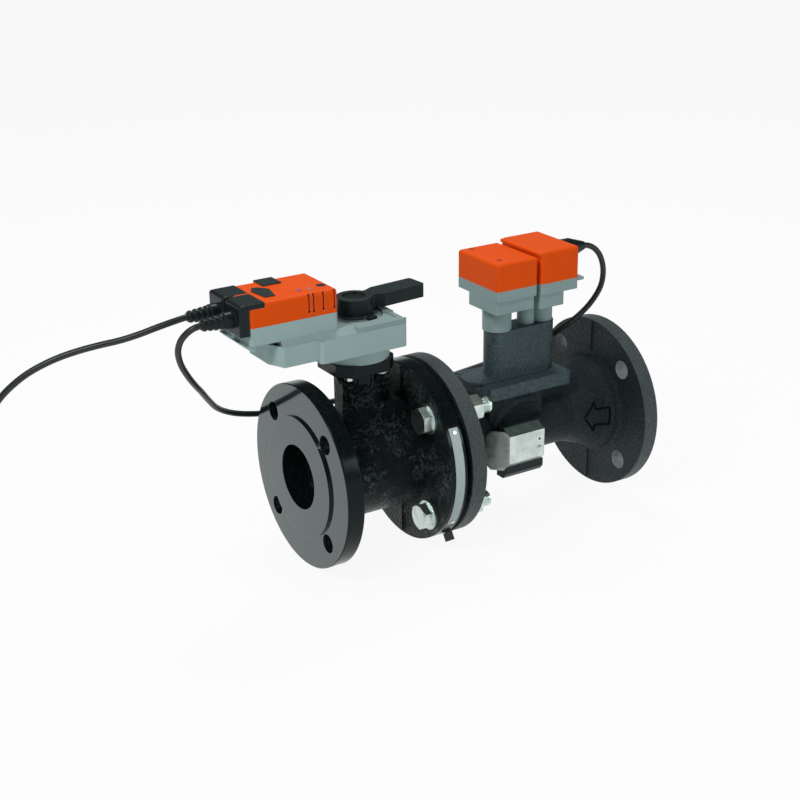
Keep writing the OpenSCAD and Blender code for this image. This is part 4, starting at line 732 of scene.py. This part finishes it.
class VALVE_OT_cover_flaps(bpy.types.Operator):
    """Folds the slanted stainless flap on the outlet side of each electrode cover"""
    bl_idname = "valve.cover_flaps"
    bl_label = "Cover Flaps"

    def execute(self, context):
        # The flap's stainless is a darker copy of the covers' stainless: a painted dark reflection
        # on its slanted face
        steel = plated("flap_dark_reflection", scaled(context.scene.valve_colours.steel, 0.42), 0.36, BRUSHED)
        slant = math.sqrt(0.5)
        # A ring is the face shrunk to a share about its middle, and raised by a height along out
        for name, side in (("cover_flap_near", -1), ("cover_flap_far", 1)):
            run = np.array([-slant, -side * slant, 0])
            out = np.array([-slant, side * slant, 0])
            corner = np.array([FLAP_CORNER[0], side * FLAP_CORNER[1], 0])
            face = corner + FLAP_OUTLINE[:, :1] * run + FLAP_OUTLINE[:, 1:] * np.array([0, 0, 1.0])
            middle = face.mean(axis=0)
            rings = [middle + share * (face - middle) + height * out
                     for share, height in FLAP_RINGS]
            flap = grid_mesh(name, np.stack(rings)[:, ::side] * MM, wrap=True, caps=True)
            flap.data.materials.append(steel)
            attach(flap, body_of(frame["nodes"]["electrode_covers"])[0])
        return {"FINISHED"}


class VALVE_OT_housings(bpy.types.Operator):
    """Finishes the moulded covers, housings, lever, plugs and buttons"""
    bl_idname = "valve.housings"
    bl_label = "Housings"

    def execute(self, context):
        colours, edge = context.scene.valve_colours, context.scene.valve_sizes.edge_round
        orange, grey, black = tuple(colours.cover), tuple(colours.housing), tuple(colours.lever)
        finish_nodes(moulded("orange_cover", orange, 0.42, edge=edge, edge_highlight=0.16, sheen=0.06),
                     ["drive_cover", "transmitter_cover_a", "transmitter_cover_b"])
        finish_nodes(moulded("grey_housing", grey, 0.46, edge=edge), ["gear_case", "drive_shell"])
        # A darker copy of the housing grey: painted shade on the gear lid under the lever, and on
        # the transmitter bases
        finish_nodes(moulded("grey_shaded", scaled(grey, 0.76), 0.46, edge=edge),
                     ["gear_lid", "transmitter_base_a", "transmitter_base_b"])
        finish_nodes(moulded("black_moulding", black, 0.34, 0.07, edge, 0.08, 0.2),
                     ["hand_lever", "near_plug", "far_plug", "cable_gland", "coil_tie",
                      "end_stops"])
        finish_nodes(moulded("button_black", black, 0.44, 0.04, 0.3 * MM, 0.1),
                     ["release_button", "service_hatch", "direction_switch"])
        finish_nodes(moulded("dial_grey", scaled(grey, 0.62), 0.42), ["scale_ring", "output_hub"])
        finish_nodes(moulded("key_violet", (0.15, 0.12, 0.36), 0.4, edge=0.2 * MM), ["key_one"])
        finish_nodes(moulded("key_grey", (0.30, 0.26, 0.32), 0.4, edge=0.2 * MM), ["key_two"])
        return {"FINISHED"}


class VALVE_OT_metalwork(bpy.types.Operator):
    """Finishes the fasteners, the stainless covers and the data plate"""
    bl_idname = "valve.metalwork"
    bl_label = "Metalwork"

    def execute(self, context):
        colours = context.scene.valve_colours
        zinc, steel = tuple(colours.zinc), tuple(colours.steel)
        finish_nodes(plated("zinc_plate", zinc, 0.3),
                     ["joint_bolts", "joint_nuts", "joint_washers", "mounting_screws"])
        finish_nodes(plated("small_screws", zinc, 0.34, edge=0.15 * MM),
                     ["cover_screws", "transmitter_screws", "plate_rivets"])
        finish_nodes(plated("brushed_cover", steel, 0.3, BRUSHED, 0.5 * MM), ["electrode_covers"])
        finish_nodes(moulded("data_plate_paint", (0.44, 0.52, 0.51), 0.5, edge=0.2 * MM),
                     ["data_plate"])
        return {"FINISHED"}


class VALVE_OT_inner_parts(bpy.types.Operator):
    """Finishes the ball, seals, gears, motor, boards and coils inside"""
    bl_idname = "valve.inner_parts"
    bl_label = "Inner Parts"

    def execute(self, context):
        finish_nodes(plated("chromed_ball", (0.72, 0.74, 0.76), 0.16), ["ball"])
        finish_nodes(plated("turned_steel", (0.55, 0.56, 0.57), 0.3, TURNED),
                     ["stem", "gear_axles", "electrodes", "motor_rotor"])
        finish_nodes(plated("motor_steel", (0.46, 0.47, 0.47), 0.34), ["motor_can"])
        finish_nodes(plated("pinion_brass", (0.78, 0.55, 0.22), 0.3), ["motor_pinion"])
        finish_nodes(moulded("gear_nylon", (0.62, 0.60, 0.52), 0.4, edge=0.3 * MM),
                     ["output_gear", "gear_a", "gear_b"])
        finish_nodes(soft_seal("seat_white", (0.72, 0.72, 0.69), 0.4),
                     ["ball_seats", "stem_bushes"])
        finish_nodes(soft_seal("seal_rubber", (0.02, 0.02, 0.021), 0.55),
                     ["stem_seals", "tube_liner"])
        finish_nodes(soft_seal("joint_fibre", (0.03, 0.034, 0.036), 0.6, 1200), ["joint_gasket"])
        finish_nodes(soft_seal("wire_jacket", (0.5, 0.5, 0.48), 0.4), ["supply_wires"])
        finish_nodes(circuit("board_lacquer"),
                     ["transmitter_board_a", "transmitter_board_b", "drive_board"])
        finish_nodes(windings("copper_wire", (0.72, 0.32, 0.14)), ["magnet_coils"])
        return {"FINISHED"}


class VALVE_OT_stage(bpy.types.Operator):
    """Lays the pale floor and sets the studio lamps and the white surround"""
    bl_idname = "valve.stage"
    bl_label = "Stage"

    def execute(self, context):
        # The floor is a level grid at the lowest height of the object
        side = np.linspace(-FLOOR_HALF, FLOOR_HALF, FLOOR_LINES)
        x, y = np.meshgrid(side, side)
        floor = grid_mesh("floor", np.stack([x, y, 0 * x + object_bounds()[0][2]], axis=-1))
        floor.data.materials.append(self.floor_finish())
        floor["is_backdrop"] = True
        self.surround(context)
        for name, place, size, power in LAMPS:
            self.lamp(context, name, np.array(place), size, power)
        context.scene.view_settings.view_transform = "Standard"
        return {"FINISHED"}

    def floor_finish(self):
        """White paper: most of its white is its own where a camera, gloss or glass looks, so that
        shadows on it stay faint."""
        f = Finish("floor_paper", Roughness=0.9)
        fibre = f.noise(60, 3)
        f.wear(Base_Color=f.blend(fibre, (0.80, 0.80, 0.80), (0.84, 0.84, 0.84)))
        seen = f.node("ShaderNodeLightPath", out="Is Camera Ray")
        seen = (seen + f.node("ShaderNodeLightPath", out="Is Glossy Ray")
                + f.node("ShaderNodeLightPath", out="Is Transmission Ray")).held()
        glow = f.node("ShaderNodeEmission", {}, {"Color": WHITE, "Strength": 1.0})
        paper = Tone(f, f.shader.outputs[0])
        both = f.node("ShaderNodeMixShader", {}, {0: seen * FLOOR_GLOW, 1: paper, 2: glow})
        f.tree.links.new(both.socket, f.tree.nodes["Material Output"].inputs["Surface"])
        return f.material

    def surround(self, context):
        """White where a camera looks, cool white that fades upwards where gloss or glass looks, and
        a softer grey for the light that it throws."""
        world = bpy.data.worlds.new("surround")
        world.use_nodes = True
        nodes, links = world.node_tree.nodes, world.node_tree.links

        def mixed(factor, one, two):
            """The output of a node that mixes two colours, each a tuple or another output."""
            mix = nodes.new("ShaderNodeMix")
            mix.data_type = "RGBA"
            links.new(factor, mix.inputs[0])
            for number, colour in ((MIX_A, one), (MIX_B, two)):
                if isinstance(colour, tuple):
                    mix.inputs[number].default_value = colour
                else:
                    links.new(colour, mix.inputs[number])
            return mix.outputs[MIX_OUT]

        path = nodes.new("ShaderNodeLightPath").outputs
        looked_at = path["Is Camera Ray"]
        for name in ("Is Glossy Ray", "Is Transmission Ray"):
            larger = nodes.new("ShaderNodeMath")
            larger.operation = "MAXIMUM"
            links.new(looked_at, larger.inputs[0])
            links.new(path[name], larger.inputs[1])
            looked_at = larger.outputs[0]
        way = nodes.new("ShaderNodeSeparateXYZ")
        links.new(nodes.new("ShaderNodeTexCoord").outputs["Generated"], way.inputs[0])
        fade = nodes.new("ShaderNodeMapRange")
        fade.interpolation_type = "SMOOTHSTEP"
        for key, value in GLOSS_FADE.items():
            fade.inputs[key].default_value = value
        links.new(way.outputs["Z"], fade.inputs["Value"])
        cool = mixed(fade.outputs["Result"], GLOSS_DARK, GLOSS_PALE)
        seen = mixed(path["Is Camera Ray"], cool, WHITE)
        light = mixed(looked_at, THROWN_LIGHT, seen)
        links.new(light, nodes["Background"].inputs["Color"])
        context.scene.world = world

    def lamp(self, context, name, place, size, power):
        """A soft square lamp that looks at the middle of the valve."""
        light = bpy.data.lights.new(name, "AREA")
        light.shape, light.size, light.energy = "SQUARE", size, power
        lamp = bpy.data.objects.new(name, light)
        away = place - np.array(LAMP_AIM)
        back = away / np.linalg.norm(away)
        right = np.cross([0, 0, 1], back)
        right /= np.linalg.norm(right)
        lamp.matrix_world = placed(right, np.cross(back, right), back, place)
        context.scene.collection.objects.link(lamp)


class VALVE_PT_panel(bpy.types.Panel):
    """Lists the steps that dress the valve"""
    bl_idname = "VALVE_PT_panel"
    bl_label = "Control Valve"
    bl_space_type = "VIEW_3D"
    bl_region_type = "UI"
    bl_category = "Valve"

    def draw(self, context):
        for step in STEPS:
            self.layout.operator(step.bl_idname)
        for group in (context.scene.valve_sizes, context.scene.valve_colours):
            for key in group.__annotations__:
                self.layout.prop(group, key)


STEPS = (
    VALVE_OT_camera, VALVE_OT_cables, VALVE_OT_castings, VALVE_OT_flow_arrow, VALVE_OT_housings,
    VALVE_OT_metalwork, VALVE_OT_cover_flaps, VALVE_OT_inner_parts, VALVE_OT_stage)
CLASSES = (ValveSizes, ValveColours) + STEPS + (VALVE_PT_panel,)


def register():
    """Registers the classes and hangs the sizes and colours on the scene."""
    for part in CLASSES:
        bpy.utils.register_class(part)
    bpy.types.Scene.valve_sizes = bpy.props.PointerProperty(type=ValveSizes)
    bpy.types.Scene.valve_colours = bpy.props.PointerProperty(type=ValveColours)


def unregister():
    """Takes them off again."""
    del bpy.types.Scene.valve_sizes, bpy.types.Scene.valve_colours
    for part in reversed(CLASSES):
        bpy.utils.unregister_class(part)


def main():
    """Dresses the valve step by step."""
    register()
    for step in STEPS:
        group, name = step.bl_idname.split(".")
        getattr(getattr(bpy.ops, group), name)()


if __name__ == "__main__":
    main()
